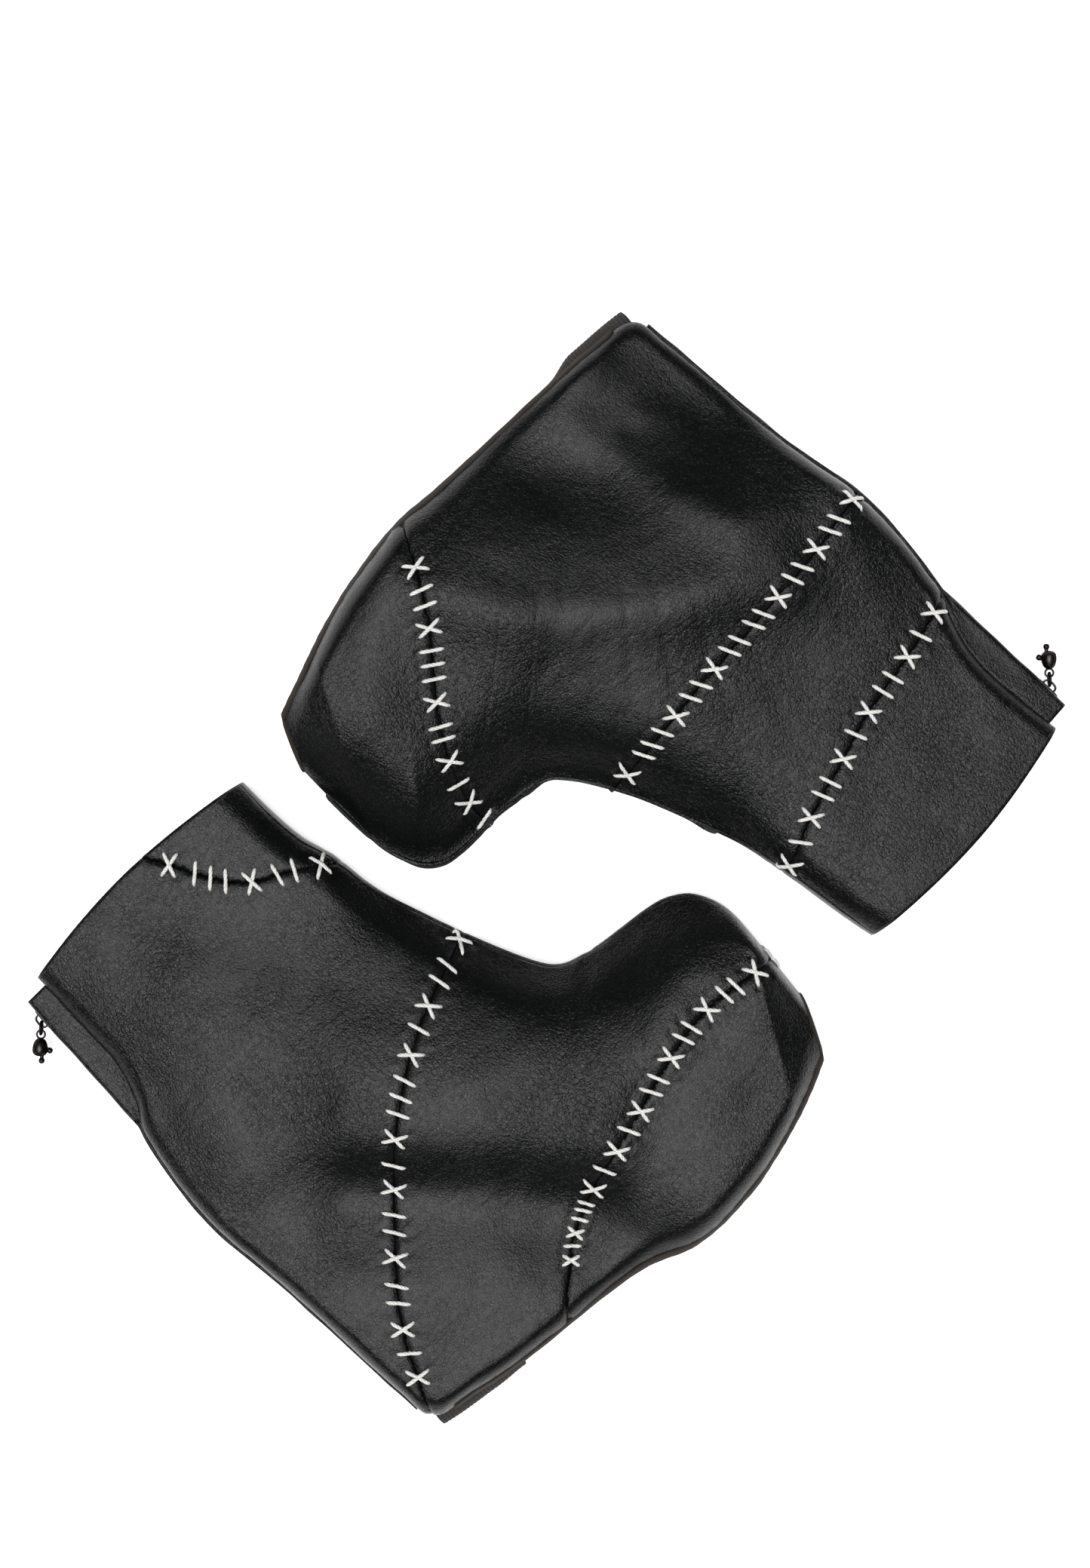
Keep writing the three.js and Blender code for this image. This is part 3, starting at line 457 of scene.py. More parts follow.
class Cover:
    """One cover's surface, as functions of t, from cuff to toe, and of the distance from the back edge."""

    def __init__(self, name, sides, ribs, seams, folds, zip_x):
        self.name = name
        self.sides = sides
        self.back = scaled([rib[:2] for rib in ribs])
        self.front = scaled([rib[2:4] for rib in ribs])
        self.form = np.array([[rib[4]] for rib in ribs], float)
        self.seams = {key: (spline(scaled(line), np.linspace(0, 1, 70)), rows)
                      for key, (line, rows) in seams.items()}
        self.folds = folds
        self.zip_x = zip_x
        joint = next(j for j in frame["joints"] if j["name"] == f"{name}_zip_run")
        turn = 0 if name == "right" else LEFT_TURN
        arc_centre = Vector((zip_x + ZIP_RADIUS, ZIP_CENTRE, 0)) * MM
        rotation = Matrix.Rotation(turn, 4, "Z")
        shift = Vector(joint["pos_m"]) - rotation @ arc_centre
        self.place = Matrix.Translation((shift.x, shift.y, 0)) @ rotation @ Matrix.Scale(MM, 4)

    def label(self, side):
        return self.sides[0 if side > 0 else 1]

    def rib(self, t):
        """The cross-section's sizes at each t."""
        back, front = spline(self.back, t), spline(self.front, t)
        form = np.clip(spline(self.form, t)[..., 0], 0, 2)
        length = np.linalg.norm(front - back, axis=-1)
        first, second = np.minimum(form, 1), np.maximum(form - 1, 0)
        full = SHAFT_RISE + (INSTEP_RISE - SHAFT_RISE) * first + (TOE_RISE - INSTEP_RISE) * second
        sole = smoothstep(t, HEEL - 0.04, HEEL + 0.03)
        middle = SHAFT_MIDDLE + (TOE_MIDDLE - SHAFT_MIDDLE) * second
        roll = np.minimum(FRONT_ROLL * (1 + 0.4 * first), 0.75 * length)
        return {
            "back": back, "along": (front - back) / length[..., None], "length": length, "sole": sole,
            "rise": full * np.minimum(1, 0.45 + length / 160), "middle": middle,
            "roll": roll * (1 - 0.45 * smoothstep(second, 0.75, 1)),
            "bow": CUFF_BOW * np.maximum(0, 1 - np.asarray(t) / 0.2) ** 2,
            "far_lip": GUSSET_HALF * (1 - sole) + (middle - 1) * sole,
        }

    def lift(self, rib, side, a):
        """Height above or below the middle level, before the front edge turns over."""
        a = a - BACK_RIM * (1 - rib["sole"]) * (side > 0)
        width = NEAR_SWELL * (1 + SOLE_SPREAD * rib["sole"]) if side > 0 else FAR_SWELL
        lip = GUSSET_HALF if side > 0 else rib["far_lip"]
        full = rib["rise"] if side > 0 else rib["middle"]
        left = 1 - np.clip(a / width, 0, 1)
        swell = np.sqrt(1 - left**2) * (1 - rib["sole"]) + (1 - left**2.6) * rib["sole"]
        return lip + (full - lip) * swell, swell

    def surface(self, side, t, a, angle):
        """Points of a side; angle is how far the front edge has turned over, up to a right angle."""
        rib = self.rib(t)
        a = np.where(angle > 0, rib["length"] - rib["roll"] * (1 - np.sin(angle)), a)
        flat = rib["back"] + rib["along"] * a[:, None]
        flat[:, 1] += rib["bow"] * np.sin(np.pi * np.clip(a / rib["length"], 0, 1))
        lift, swell = self.lift(rib, side, a)
        if side > 0:
            lift = lift + swell * self.fold_height(flat)
        z = rib["middle"] + side * lift * np.cos(angle)
        return np.column_stack([flat, z])

    def fold_height(self, flat):
        """Height of the soft folds above the plain shape, at points in plan."""
        height = np.zeros(len(flat))
        for kind, folds in zip(("ridge", "step"), self.folds):
            for line, width, size in folds:
                line = spline(line, np.linspace(0, 1, 4 * len(line)))
                distance, signed = line_distance(flat, line)
                if kind == "ridge":
                    height += size * np.exp(-(distance / width) ** 2)
                else:
                    past_end = np.sqrt(np.maximum(0, distance**2 - signed**2)) / STEP_END_FADE
                    fade = np.exp(-(signed / (18 + 1.3 * width)) ** 2 - past_end**2)
                    height += size / 2 * np.tanh(signed / width) * fade
        return height

    def near(self, t, q):
        """The near side: q is 0 at the back edge and 1 at the centre-front seam."""
        rib = self.rib(t)
        turned = 0.84
        share = np.clip(q / turned, 0, 1)
        share = share**1.5 * (1 - rib["sole"]) + share * rib["sole"]
        last = np.arcsin(1 - SEAM_INSET / rib["roll"])
        angle = np.clip((q - turned) / (1 - turned), 0, 1) * last
        start = rib["sole"] * BINDING_TUCK + (1 - rib["sole"]) * BACK_RIM
        return self.surface(1, t, start + share * (rib["length"] - rib["roll"] - start), angle)

    def far(self, t, q):
        """The far side: q is 0 at the centre-front seam and 1 at the back edge."""
        rib = self.rib(t)
        first = np.arcsin(1 - SEAM_INSET / rib["roll"])
        over, under = 0.06, 0.24
        upper = first + np.clip(q / over, 0, 1) * (np.pi / 2 - first)
        lower = np.pi / 2 * (1 - np.clip((q - over) / (under - over), 0, 1))
        share = 1 - np.clip((q - under) / (1 - under), 0, 1)
        share = share**1.5 * (1 - rib["sole"]) + share * rib["sole"]
        on_top = self.surface(1, t, np.zeros_like(t), np.maximum(upper, 1e-6))
        start = rib["sole"] * BINDING_TUCK
        a = start + share * (rib["length"] - rib["roll"] - start)
        below = self.surface(-1, t, a, np.where(q < under, lower, 0))
        return np.where((q <= over)[:, None], on_top, below)

    def even(self, x):
        """t for an even share x of the way round, by the edges' mean length."""
        t = np.linspace(0, 1, 400)
        edges = spline(self.back, t), spline(self.front, t)
        steps = sum(np.linalg.norm(np.diff(edge, axis=0), axis=1) for edge in edges)
        return np.interp(x, np.concatenate([[0], np.cumsum(steps)]) / steps.sum(), t)

    def zip_line(self, s):
        """A point of the zip's middle line at height s, and its outward direction."""
        angle = (np.asarray(s, float) - ZIP_CENTRE) / ZIP_RADIUS
        outward = np.stack([-np.cos(angle), np.sin(angle), 0 * angle], -1)
        return np.array([self.zip_x + ZIP_RADIUS, ZIP_CENTRE, SHAFT_MIDDLE]) + outward * ZIP_RADIUS, outward


def seam_side(line, points):
    """Distance from a seam line in plan for each point, positive on the line's left."""
    distance, signed = line_distance(points, line)
    return np.sign(signed) * distance


RIGHT = Cover("right", ("outer", "inner"), RIGHT_RIBS, RIGHT_SEAMS, (RIGHT_RIDGES, RIGHT_STEPS), -3)
LEFT = Cover("left", ("inner", "outer"), LEFT_RIBS, LEFT_SEAMS, (LEFT_RIDGES, LEFT_STEPS), 1.5)
COVERS = (RIGHT, LEFT)

# Which side of the cuff, ankle and toe seams each panel lies on.
PANELS = {
    "right": {"cuff_patch": {"cuff": 1}, "shaft_panel": {"cuff": -1, "ankle": -1},
              "vamp_panel": {"ankle": 1, "toe": -1}, "toe_panel": {"toe": 1}},
    "left": {"cuff_panel": {"cuff": 1}, "ankle_band": {"cuff": -1, "ankle": 1},
             "quarter_panel": {"ankle": -1, "toe": 1}, "toe_panel": {"toe": -1}},
}


# ---- mesh helpers
def coordinates(bm):
    return np.array([v.co[:] for v in bm.verts])


def finish_piece(bm, cover, name, materials, node=None, body="cover", normals=True):
    """Turns a bmesh in a cover's millimetres into a piece, standing for a CAD node if one is named."""
    if normals:
        bmesh.ops.recalc_face_normals(bm, faces=bm.faces)
    bm.transform(cover.place)
    for face in bm.faces:
        face.smooth = True
    name = f"{cover.name}_{name}"
    mesh = bpy.data.meshes.new(name)
    bm.to_mesh(mesh)
    bm.free()
    piece = bpy.data.objects.new(name, mesh)
    bpy.context.scene.collection.objects.link(piece)
    for material in materials:
        mesh.materials.append(material)
    if node:
        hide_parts(f"{cover.name}_{node}")
    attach(piece, f"{cover.name}_{body}")
    return piece


def thicken(piece, thickness, backed=False, offset=-1):
    """Gives a sheet its thickness inward from its face; a backed one has its second material inside."""
    wall = piece.modifiers.new("wall", "SOLIDIFY")
    wall.thickness = thickness * MM
    wall.offset = offset
    if backed:
        wall.material_offset = 1


def grid(columns, rows, place):
    """A bmesh grid moved onto a surface: place takes the two shares of each vertex, 0 to 1."""
    bm = bmesh.new()
    bmesh.ops.create_grid(bm, x_segments=columns, y_segments=rows, size=0.5)
    share = np.clip(coordinates(bm)[:, :2] + 0.5, 0, 1)
    bm.loops.layers.uv.new("UVMap")
    for vert, point in zip(bm.verts, place(share[:, 0], share[:, 1])):
        vert.co = point
    return bm


def cut_along(bm, line):
    """Splits the faces of a side where they cross a seam line in plan."""
    bm.verts.ensure_lookup_table()
    bm.verts.index_update()
    side = seam_side(line, coordinates(bm)[:, :2])
    side[np.abs(side) < 1e-3] = 1e-3
    fresh = []
    for edge in list(bm.edges):
        a, b = edge.verts[0], edge.verts[1]
        x, y = side[a.index], side[b.index]
        if x * y < 0 and abs(x) < 9 and abs(y) < 9:
            fresh.append(bmesh.utils.edge_split(edge, a, x / (x - y))[1])
    bmesh.ops.connect_verts(bm, verts=fresh)


STITCH_GAPS, WIDE_GAP = {"||": 6.8, "| ": 6.2, " |": 3.0}, 10.8  # before scaling to the row's length


def stitch_rows(cover):
    """Every hand stitch of a cover's seams: centre, direction along the seam, kind, lean and size."""
    rng = random.Random(7 if cover.name == "right" else 11)
    stitches = []
    for line, rows in cover.seams.values():
        steps = line_steps(line)
        for start, end, row, lean, size in rows:
            first, last = (steps[np.argmin(np.linalg.norm(line - p, axis=1))] for p in (start, end))
            gaps = [STITCH_GAPS.get(pair, WIDE_GAP) for pair in map("".join, zip(row, row[1:]))]
            place = np.concatenate([[0], np.cumsum(gaps)])
            place = first + (last - first) * place / place[-1]
            for kind, distance in zip(row, place):
                if kind == " ":
                    continue
                distance += rng.uniform(-0.5, 0.5)
                centre = np.array([np.interp(distance, steps, line[:, k]) for k in (0, 1)])
                ahead = np.array([np.interp(distance + 1, steps, line[:, k]) for k in (0, 1)])
                along = (ahead - centre) / np.linalg.norm(ahead - centre)
                stitches.append((centre, along, kind, -lean + rng.uniform(-4, 4), size))
    return stitches


def stitch_arms(stitch):
    """The straight threads of one stitch: two crossing, or one bar. Each is its two ends in plan."""
    centre, along, kind, lean, size = stitch
    across = np.array([-along[1], along[0]])
    spread = math.radians(CROSS_SPREAD + 0.8 * math.sin(40 * lean))
    lean = math.radians(lean)
    turns = [lean + spread, lean - spread] if kind == "X" else [lean]
    half = size * (CROSS_HALF if kind == "X" else BAR_HALF)
    arms = []
    for turn in turns:
        way = across * math.cos(turn) + along * math.sin(turn)
        arms.append((centre - way * half, centre + way * half))
    return arms


def press_details(cover, bm, side, stitches):
    """Moves a side's surface along its normals: seam grooves, thread holes and small wrinkles."""
    bm.normal_update()
    points = coordinates(bm)
    normals = np.array([v.normal[:] for v in bm.verts])
    offset = np.zeros(len(points))
    for line, _ in cover.seams.values():
        distance = np.abs(seam_side(line, points[:, :2]))
        offset -= SEAM_DEPTH * np.exp(-(distance / SEAM_HALF_WIDTH) ** 2)
        offset += PUFF_HEIGHT * np.exp(-((distance - PUFF_PLACE) / PUFF_HALF_WIDTH) ** 2)
    for stitch in stitches:
        for start, end in stitch_arms(stitch):
            close = np.nonzero(np.abs(points[:, :2] - (start + end) / 2).max(axis=1) < 12)[0]
            near_by = points[close, :2]
            for hole in (start, end):
                away = np.linalg.norm(near_by - hole, axis=1)
                offset[close] -= HOLE_DEPTH * np.exp(-(away / HOLE_RADIUS) ** 2)
            away = segment_distance(near_by, start, end)
            offset[close] -= THREAD_DENT * np.exp(-(away / DENT_HALF_WIDTH) ** 2)
    for index, point in enumerate(points):
        spot = Vector(point)
        offset[index] += WAVE_HEIGHT * noise.noise(spot / WAVE_SIZE)
        offset[index] += WRINKLE_HEIGHT * noise.noise(spot / WRINKLE_SIZE + Vector((5, 0, 0)))
    moved = points + normals * (offset if side > 0 else offset * 0.35)[:, None]
    if side < 0:
        moved[:, 2] = np.maximum(moved[:, 2], 0.15)
    for vert, point in zip(bm.verts, moved):
        vert.co = point


def thread_tube(bm, uv, path, ups, half_width, half_height, sides):
    """A flattened thread along a path, drawn in at both ends."""
    made = bmesh.ops.create_grid(bm, x_segments=len(path) - 1, y_segments=sides, size=0.5)["verts"]
    ways = unit(np.gradient(path, axis=0))
    span = np.linalg.norm(path[-1] - path[0])
    for vert in made:
        share = min(max(vert.co.x + 0.5, 0), 1)
        place = int(round(share * (len(path) - 1)))
        around = 2 * math.pi * (vert.co.y + 0.5)
        up = ups[place]
        right = np.cross(ways[place], up)
        taper = math.sqrt(max(0.0, 1 - (2 * share - 1) ** 10))
        off_centre = right * half_width * math.cos(around) + up * half_height * math.sin(around)
        vert.co = Vector(path[place] + taper * off_centre)
        for loop in vert.link_loops:
            loop[uv].uv = (share * span, around * half_width)


def sheet(bm, points):
    """A grid of faces through rows and columns of points, with its UVs in millimetres."""
    points = np.asarray(points, float)
    rows, columns = points.shape[:2]
    uv = bm.loops.layers.uv.verify()
    made = bmesh.ops.create_grid(bm, x_segments=rows - 1, y_segments=columns - 1, size=0.5)["verts"]
    steps = [np.linalg.norm(np.diff(points, axis=k), axis=2).mean(axis=1 - k) for k in (0, 1)]
    along, across = (np.concatenate([[0], np.cumsum(step)]) for step in steps)
    for vert in made:
        i = round((vert.co.x + 0.5) * (rows - 1))
        j = round((vert.co.y + 0.5) * (columns - 1))
        vert.co = points[i, j]
        for loop in vert.link_loops:
            loop[uv].uv = (along[i], across[j])


def close_up(bm, distance=0.002):
    """Joins a tube's long edges and caps its open ends."""
    bmesh.ops.remove_doubles(bm, verts=bm.verts, dist=distance)
    bmesh.ops.holes_fill(bm, edges=[edge for edge in bm.edges if edge.is_boundary], sides=0)


def revolve(bm, profile, frame_of=Matrix(), steps=32, samples=28):
    """Turns a smooth profile of (distance along, radius) about X."""
    smooth = spline(profile, np.linspace(0, 1, samples))
    turn = np.linspace(0, 2 * math.pi, steps + 1)
    ring = [[frame_of @ Vector((x, max(r, 0) * math.cos(w), max(r, 0) * math.sin(w))) for w in turn]
            for x, r in smooth]
    sheet(bm, ring)


def sweep(bm, path, section, side_way=(0, 0, 1), closed=False):
    """Carries a closed section of (sideways, upward) points along a path."""
    path = np.asarray(path, float)
    ways = unit(np.roll(path, -1, 0) - np.roll(path, 1, 0) if closed else np.gradient(path, axis=0))
    across = np.asarray(side_way, float)
    ups = unit(np.cross(ways, across))
    rings = [[p + across * x + up * y for x, y in section] for p, up in zip(path, ups)]
    if closed:
        rings.append(rings[0])
    sheet(bm, rings)


def circle(radius_x, radius_y=None, steps=12):
    turn = np.linspace(0, 2 * math.pi, steps + 1)
    return np.column_stack([radius_x * np.cos(turn), (radius_y or radius_x) * np.sin(turn)])


def rounded_box(half_x, half_y, power=5, steps=24):
    """The outline of a box with rounded corners."""
    turn = np.linspace(0, 2 * math.pi, steps + 1)
    c, d = np.cos(turn), np.sin(turn)
    x, y = (np.sign(k) * np.abs(k) ** (2 / power) for k in (c, d))
    return np.column_stack([half_x * x, half_y * y])


def side_piece(cover, side, stitches):
    """One whole side of a cover, cut into its panels."""
    label = cover.label(side)
    place = cover.near if side > 0 else cover.far
    bm = grid(*PANEL_CELLS, lambda x, y: place(cover.even(x), y))
    bmesh.ops.recalc_face_normals(bm, faces=bm.faces)
    top = max(bm.faces, key=lambda face: face.calc_center_median().z * side)
    top.normal_update()
    if top.normal.z * side < 0:
        bmesh.ops.reverse_faces(bm, faces=bm.faces)
    for line, _ in cover.seams.values():
        cut_along(bm, line)
    press_details(cover, bm, side, stitches)
    tree = BVHTree.FromBMesh(bm)
    centres = np.array([face.calc_center_median()[:2] for face in bm.faces])
    sides = {key: seam_side(line, centres) for key, (line, _) in cover.seams.items()}
    for panel, rule in PANELS[cover.name].items():
        chosen = np.all([sides[key] * sign > 0 for key, sign in rule.items()], axis=0)
        part = bm.copy()
        others = [face for face, own in zip(part.faces, chosen) if not own]
        bmesh.ops.delete(part, geom=others, context="FACES")
        name = f"{label}_{panel}"
        piece = finish_piece(part, cover, f"{name}_leathercloth", (LEATHER, BACKING), name,
                             normals=False)
        thicken(piece, WALL, backed=True)
    bm.free()
    return tree


def dropped(tree, plan, side):
    """Where a point in plan lands on a side's surface, and the normal there; both None if it misses."""
    return tree.ray_cast(Vector((*plan, ABOVE if side > 0 else BELOW)), Vector((0, 0, -side)))[:2]


def sewn(cover, name, material, threads, half_width, half_height, sides=8):
    """A piece made of threads, each a path with its normals."""
    bm = bmesh.new()
    uv = bm.loops.layers.uv.new("UVMap")
    for path, ups in threads:
        thread_tube(bm, uv, np.array(path), ups, half_width, half_height, sides)
    bmesh.ops.remove_doubles(bm, verts=bm.verts, dist=0.01)
    finish_piece(bm, cover, name, (material,))


def hand_stitches(cover, side, tree, stitches):
    """The white threads of a side, lying on its surface and diving into their holes."""
    shares = np.linspace(0, 1, 13)
    threads = []
    for stitch in stitches:
        for over, (start, end) in enumerate(stitch_arms(stitch)):
            path, ups = [], []
            for share in shares:
                plan = start + (end - start) * share
                hit, normal = dropped(tree, plan, side)
                if hit is None:
                    level = path[-1][2] - side if path else TOE_MIDDLE + 3 * side
                    hit, normal = tree.find_nearest(Vector((*plan, level)))[:2]
                arch = min(1.0, 2.6 * math.sin(math.pi * share))
                lift = -0.75 + 1.55 * arch + over * 0.85 * math.exp(-((share - 0.5) / 0.2) ** 2)
                if side < 0:
                    lift = min(lift * 0.5, 0.1)
                path.append(np.array(hit) + np.array(normal) * lift)
                ups.append(np.array(normal))
            threads.append((path, ups))
    sewn(cover, f"{cover.label(side)}_hand_stitches", THREAD, threads,
         THREAD_HALF_WIDTH, THREAD_HALF_HEIGHT)


def topstitching(cover, side, tree, length=2.5, gap=0.9):
    """Black machine stitching pressed into the leathercloth along the cuff."""
    surface = cover.near if side > 0 else cover.far
    q = np.linspace(0.01, 0.93, 60) if side > 0 else np.linspace(0.26, 0.99, 60)
    line = surface(np.full(60, float(cover.even(0.0035))), q)[:, :2]
    steps = line_steps(line)
    threads = []
    for begin in np.arange(0.5, steps[-1] - length, length + gap):
        path, ups = [], []
        for share in np.linspace(0, 1, 6):
            plan = [np.interp(begin + share * length, steps, line[:, k]) for k in (0, 1)]
            hit, normal = dropped(tree, plan, side)
            if hit is None:
                break
            path.append(np.array(hit) + np.array(normal) * (0.3 * math.sin(math.pi * share) - 0.2))
            ups.append(np.array(normal))
        if len(path) == 6:
            threads.append((path, ups))
    sewn(cover, f"{cover.label(side)}_cuff_topstitch", SEWING, threads,
         SEWING_HALF_WIDTH, SEWING_HALF_HEIGHT, sides=6)


def sole_binding(cover):
    """Tape folded over the edge of the sole opening, along one side, round the toe and back."""
    t = np.linspace(HEEL + 0.03, 1, 90)
    rib = cover.rib(t)
    stand = -1.3 * smoothstep(t, 0.8, 0.9)
    near_pair, far_pair = ([cover.surface(side, t, a + stand, np.zeros_like(t))[::side]
                            for a in (0.0, BINDING_SEEN)] for side in (1, -1))
    out = np.array([rib["along"][-1][1], -rib["along"][-1][0], 0])
    last = np.ones(40)
    q = np.linspace(0, 1, 40)
    toe = np.concatenate([cover.near(last, q)[:-1], cover.far(last, q)])
    toe = toe[4:-4]
    edges = np.concatenate([near_pair[0], toe + out * 0.7, far_pair[0]])
    insides = np.concatenate([near_pair[1], toe - out * 2.2, far_pair[1]])
    ways = np.gradient(edges, axis=0)
    for _ in range(3):
        ways[1:-1] = (ways[:-2] + ways[1:-1] + ways[2:]) / 3
    inward = insides - edges
    size = np.linalg.norm(inward, axis=1)[:, None]
    inward /= size
    normal = unit(np.cross(ways, inward))
    if normal[5, 2] < 0:
        normal = -normal
    section = [(1, 0.2), (0.8, 0.5), (0.5, 0.62), (0.22, 0.5), (0.03, 0.05), (-0.03, -0.7), (0.03, -1.4),
               (0.22, -1.8), (0.5, -1.95), (0.8, -1.9), (1, -1.65), (0.97, -0.7), (1, 0.2)]
    rings = []
    for k, (edge, inside_way, up, width) in enumerate(zip(edges, inward, normal, size[:, 0])):
        ripple = 0.08 * math.sin(k * 1.9) + 0.06 * math.sin(k * 0.7)
        rings.append([edge + inside_way * x * width + up * (y + ripple * (y > 0)) for x, y in section])
    bm = bmesh.new()
    sheet(bm, rings)
    close_up(bm)
    low = min(v.co.z for v in bm.verts)
    for vert in bm.verts:
        vert.co.z = max(vert.co.z, 0.1) if low < 0 else vert.co.z
    finish_piece(bm, cover, "sole_binding_tape", (BINDING,), "sole_binding")


def heel_strap(cover):
    """Wide ribbed elastic folded round under the heel, its ends sewn inside the opening."""
    half = GUSSET_HALF - 2.2 - 0.4 - STRAP_THICKNESS / 2
    fold_at = STRAP_DROP - half - STRAP_THICKNESS / 2
    turn = np.linspace(math.pi / 2, -math.pi / 2, 19)
    line = [(x, half) for x in np.linspace(-STRAP_TUCK, fold_at, 6)[:-1]]
    line += [(fold_at + half * math.cos(w), half * math.sin(w)) for w in turn]
    line += [(x, -half) for x in np.linspace(fold_at, -STRAP_TUCK, 6)[1:]]
    outward = np.array([math.sin(STRAP_ANGLE), -math.cos(STRAP_ANGLE), 0])
    sideways = np.array([math.cos(STRAP_ANGLE), math.sin(STRAP_ANGLE), 0])
    widths = np.linspace(-1.5, STRAP_WIDTH + 5, 191)
    pulled = 1 - STRAP_TAPER[cover.name] * smoothstep(widths, 27, STRAP_WIDTH + 6)
    rows = []
    for x, z in line:
        rib_height = 0.09 * np.cos(2 * math.pi * widths / 1.9)
        sag = 0.35 * np.sin(widths / 7 + 0.5) * max(0, x / STRAP_DROP)
        reach = (x + rib_height * (x > 0) + sag) * (pulled if x > 0 else 1)
        level = z + rib_height * np.sign(z) * (abs(z) > 1)
        level_part = np.outer(level + SHAFT_MIDDLE, (0, 0, 1))
        rows.append(np.outer(reach, outward) + np.outer(widths + STRAP_START, sideways) + level_part)
    bm = bmesh.new()
    sheet(bm, rows)
    piece = finish_piece(bm, cover, "heel_strap_elastic", (ELASTIC,), "heel_strap")
    thicken(piece, STRAP_THICKNESS, offset=0)


def closure_fold(cover, side, heights):
    """The strip's lines at each height: its edge by the zip, and its edge by the panel."""
    point, outward = cover.zip_line(heights)
    start = point + np.array([0, 0, side * STRIP_START])
    back = spline(cover.back, np.linspace(0, HEEL, 300))[::-1]
    edge = np.interp(point[:, 1], back[:, 1], back[:, 0]) + 0.8 + BACK_RIM * (side > 0)
    end = np.column_stack([edge, point[:, 1], point[:, 2] + side * (GUSSET_HALF - BACK_GAP)])
    return point, outward, start, end


def zip_sides(cover):
    """The strips beside the zip, the tape under them, the coils and the stops."""
    for side, label in zip((1, -1), cover.sides):
        heights = np.linspace(STRIP_BOTTOM, ZIP_TOP + 4, 170)
        point, outward, start, end = closure_fold(cover, side, heights)
        along = end - start
        face = unit(np.cross(np.array([0, 1, 0]), along) * -side)
        wide = np.linalg.norm(along, axis=1)
        inward = -np.sum((end - start) * outward, axis=1)
        rim = 0.8 + BACK_RIM * (side > 0)
        reach_out = np.maximum(2.0, rim - inward)[:, None]
        over = smoothstep(inward, -2, 4)[:, None]
        up = np.array([0, 0, side])
        waves = (0.15 * np.sin(heights / 9.0) + 0.1 * np.sin(heights / 3.7 + 1))[:, None]
        wide_open = [start + along * 0.35 + face * (2.3 + waves), start + along * 0.72 + face * (1.5 + waves),
                     start + along * 0.9 + face * 1.0, end - face * 0.5]
        tucked = [end + outward * (rim * 0.9) + up * 0.5, end + outward * (rim * 0.6) + up * 1.1,
                  end + outward * (rim * 0.25) + up * 0.6, end - up * 0.5]
        lines = [start, start + outward * (reach_out * 0.75 + waves) + up * 0.3,
                 start + outward * (reach_out + waves) + up * 1.5,
                 start + outward * (reach_out - 0.3 - 1.1 * over + waves) + up * (2.1 + 0.9 * over)]
        lines += [a * over + b * (1 - over) for a, b in zip(wide_open, tucked)]
        rows = np.moveaxis(spline(lines, np.linspace(0, 1, 25)), 0, 1)
        bm = bmesh.new()
        sheet(bm, rows)
        set_faces_outward(bm, rows[80, 8], outward[80])
        piece = finish_piece(bm, cover, f"{label}_strip_leathercloth", (LEATHER, BACKING),
                             f"{label}_zip_strip", normals=False)
        thicken(piece, STRIP_THICKNESS, backed=True)
        under = STRIP_THICKNESS / 2 + 0.4
        middle = point + np.array([0, 0, side * CHAIN_GAP]) - outward * 0.4
        reach = start + along * np.minimum(1, (TAPE_REACH - STRIP_START) / wide)[:, None]
        lines = [middle, start - (face + outward) * 0.5 * under, reach - face * under]
        between = [(a + b) / 2 for a, b in zip(lines, lines[1:])]
        tape_rows = np.stack([lines[0], between[0], lines[1], between[1], lines[2]], 1)
        bm = bmesh.new()
        sheet(bm, tape_rows[4:-4])
        set_faces_outward(bm, tape_rows[80, 1], outward[80])
        piece = finish_piece(bm, cover, f"{label}_tape_cloth", (TAPE,), f"{label}_zip_tape",
                             normals=False)
        thicken(piece, TAPE_THICKNESS)
        coil_side(cover, side, label)
        bm = bmesh.new()
        sides = side * (CHAIN_GAP - 0.1), side * (CHAIN_GAP + CHAIN_WIDTH + 0.3)
        stop(cover, bm, ZIP_TOP + 0.3, ZIP_TOP + 2.5, *sides)
        finish_piece(bm, cover, f"{label}_stop_clip", (NICKEL,), f"{label}_zip_top_stop")
    bm = bmesh.new()
    reach = CHAIN_GAP + CHAIN_WIDTH + 0.2
    stop(cover, bm, ZIP_BOTTOM - 3, ZIP_BOTTOM - 0.4, -reach, reach)
    finish_piece(bm, cover, "bottom_stop_clip", (NICKEL,), "zip_bottom_stop")


def set_faces_outward(bm, near_to, way):
    """Turns an open sheet's faces so that its outside faces the given way."""
    bmesh.ops.recalc_face_normals(bm, faces=bm.faces)
    target = Vector(near_to)
    closest = min(bm.faces, key=lambda face: (face.calc_center_median() - target).length)
    if closest.normal.dot(Vector(way)) < 0:
        bmesh.ops.reverse_faces(bm, faces=bm.faces)


def stop(cover, bm, low, high, z_from, z_to):
    """A metal clip closed round the coil."""
    point, outward = cover.zip_line(np.array([(low + high) / 2]))
    up = np.cross(outward[0], (0, 0, 1))
    centre = point[0] + outward[0] * CHAIN_DEPTH / 2 + np.array([0, 0, (z_from + z_to) / 2])
    half_long, half_wide, half_deep = (high - low) / 2, abs(z_to - z_from) / 2, CHAIN_DEPTH / 2 + 0.25
    rings = []
    for w in np.linspace(-1, 1, 11):
        shrink = (1 - abs(w) ** 6) ** (1 / 3) if abs(w) < 1 else 0.0
        outline = rounded_box(half_wide * (0.5 + 0.5 * shrink), half_deep * (0.5 + 0.5 * shrink), 5)
        rings.append([centre + up * w * half_long + np.array([0, 0, x]) + outward[0] * y for x, y in outline])
    sheet(bm, rings)
    close_up(bm)


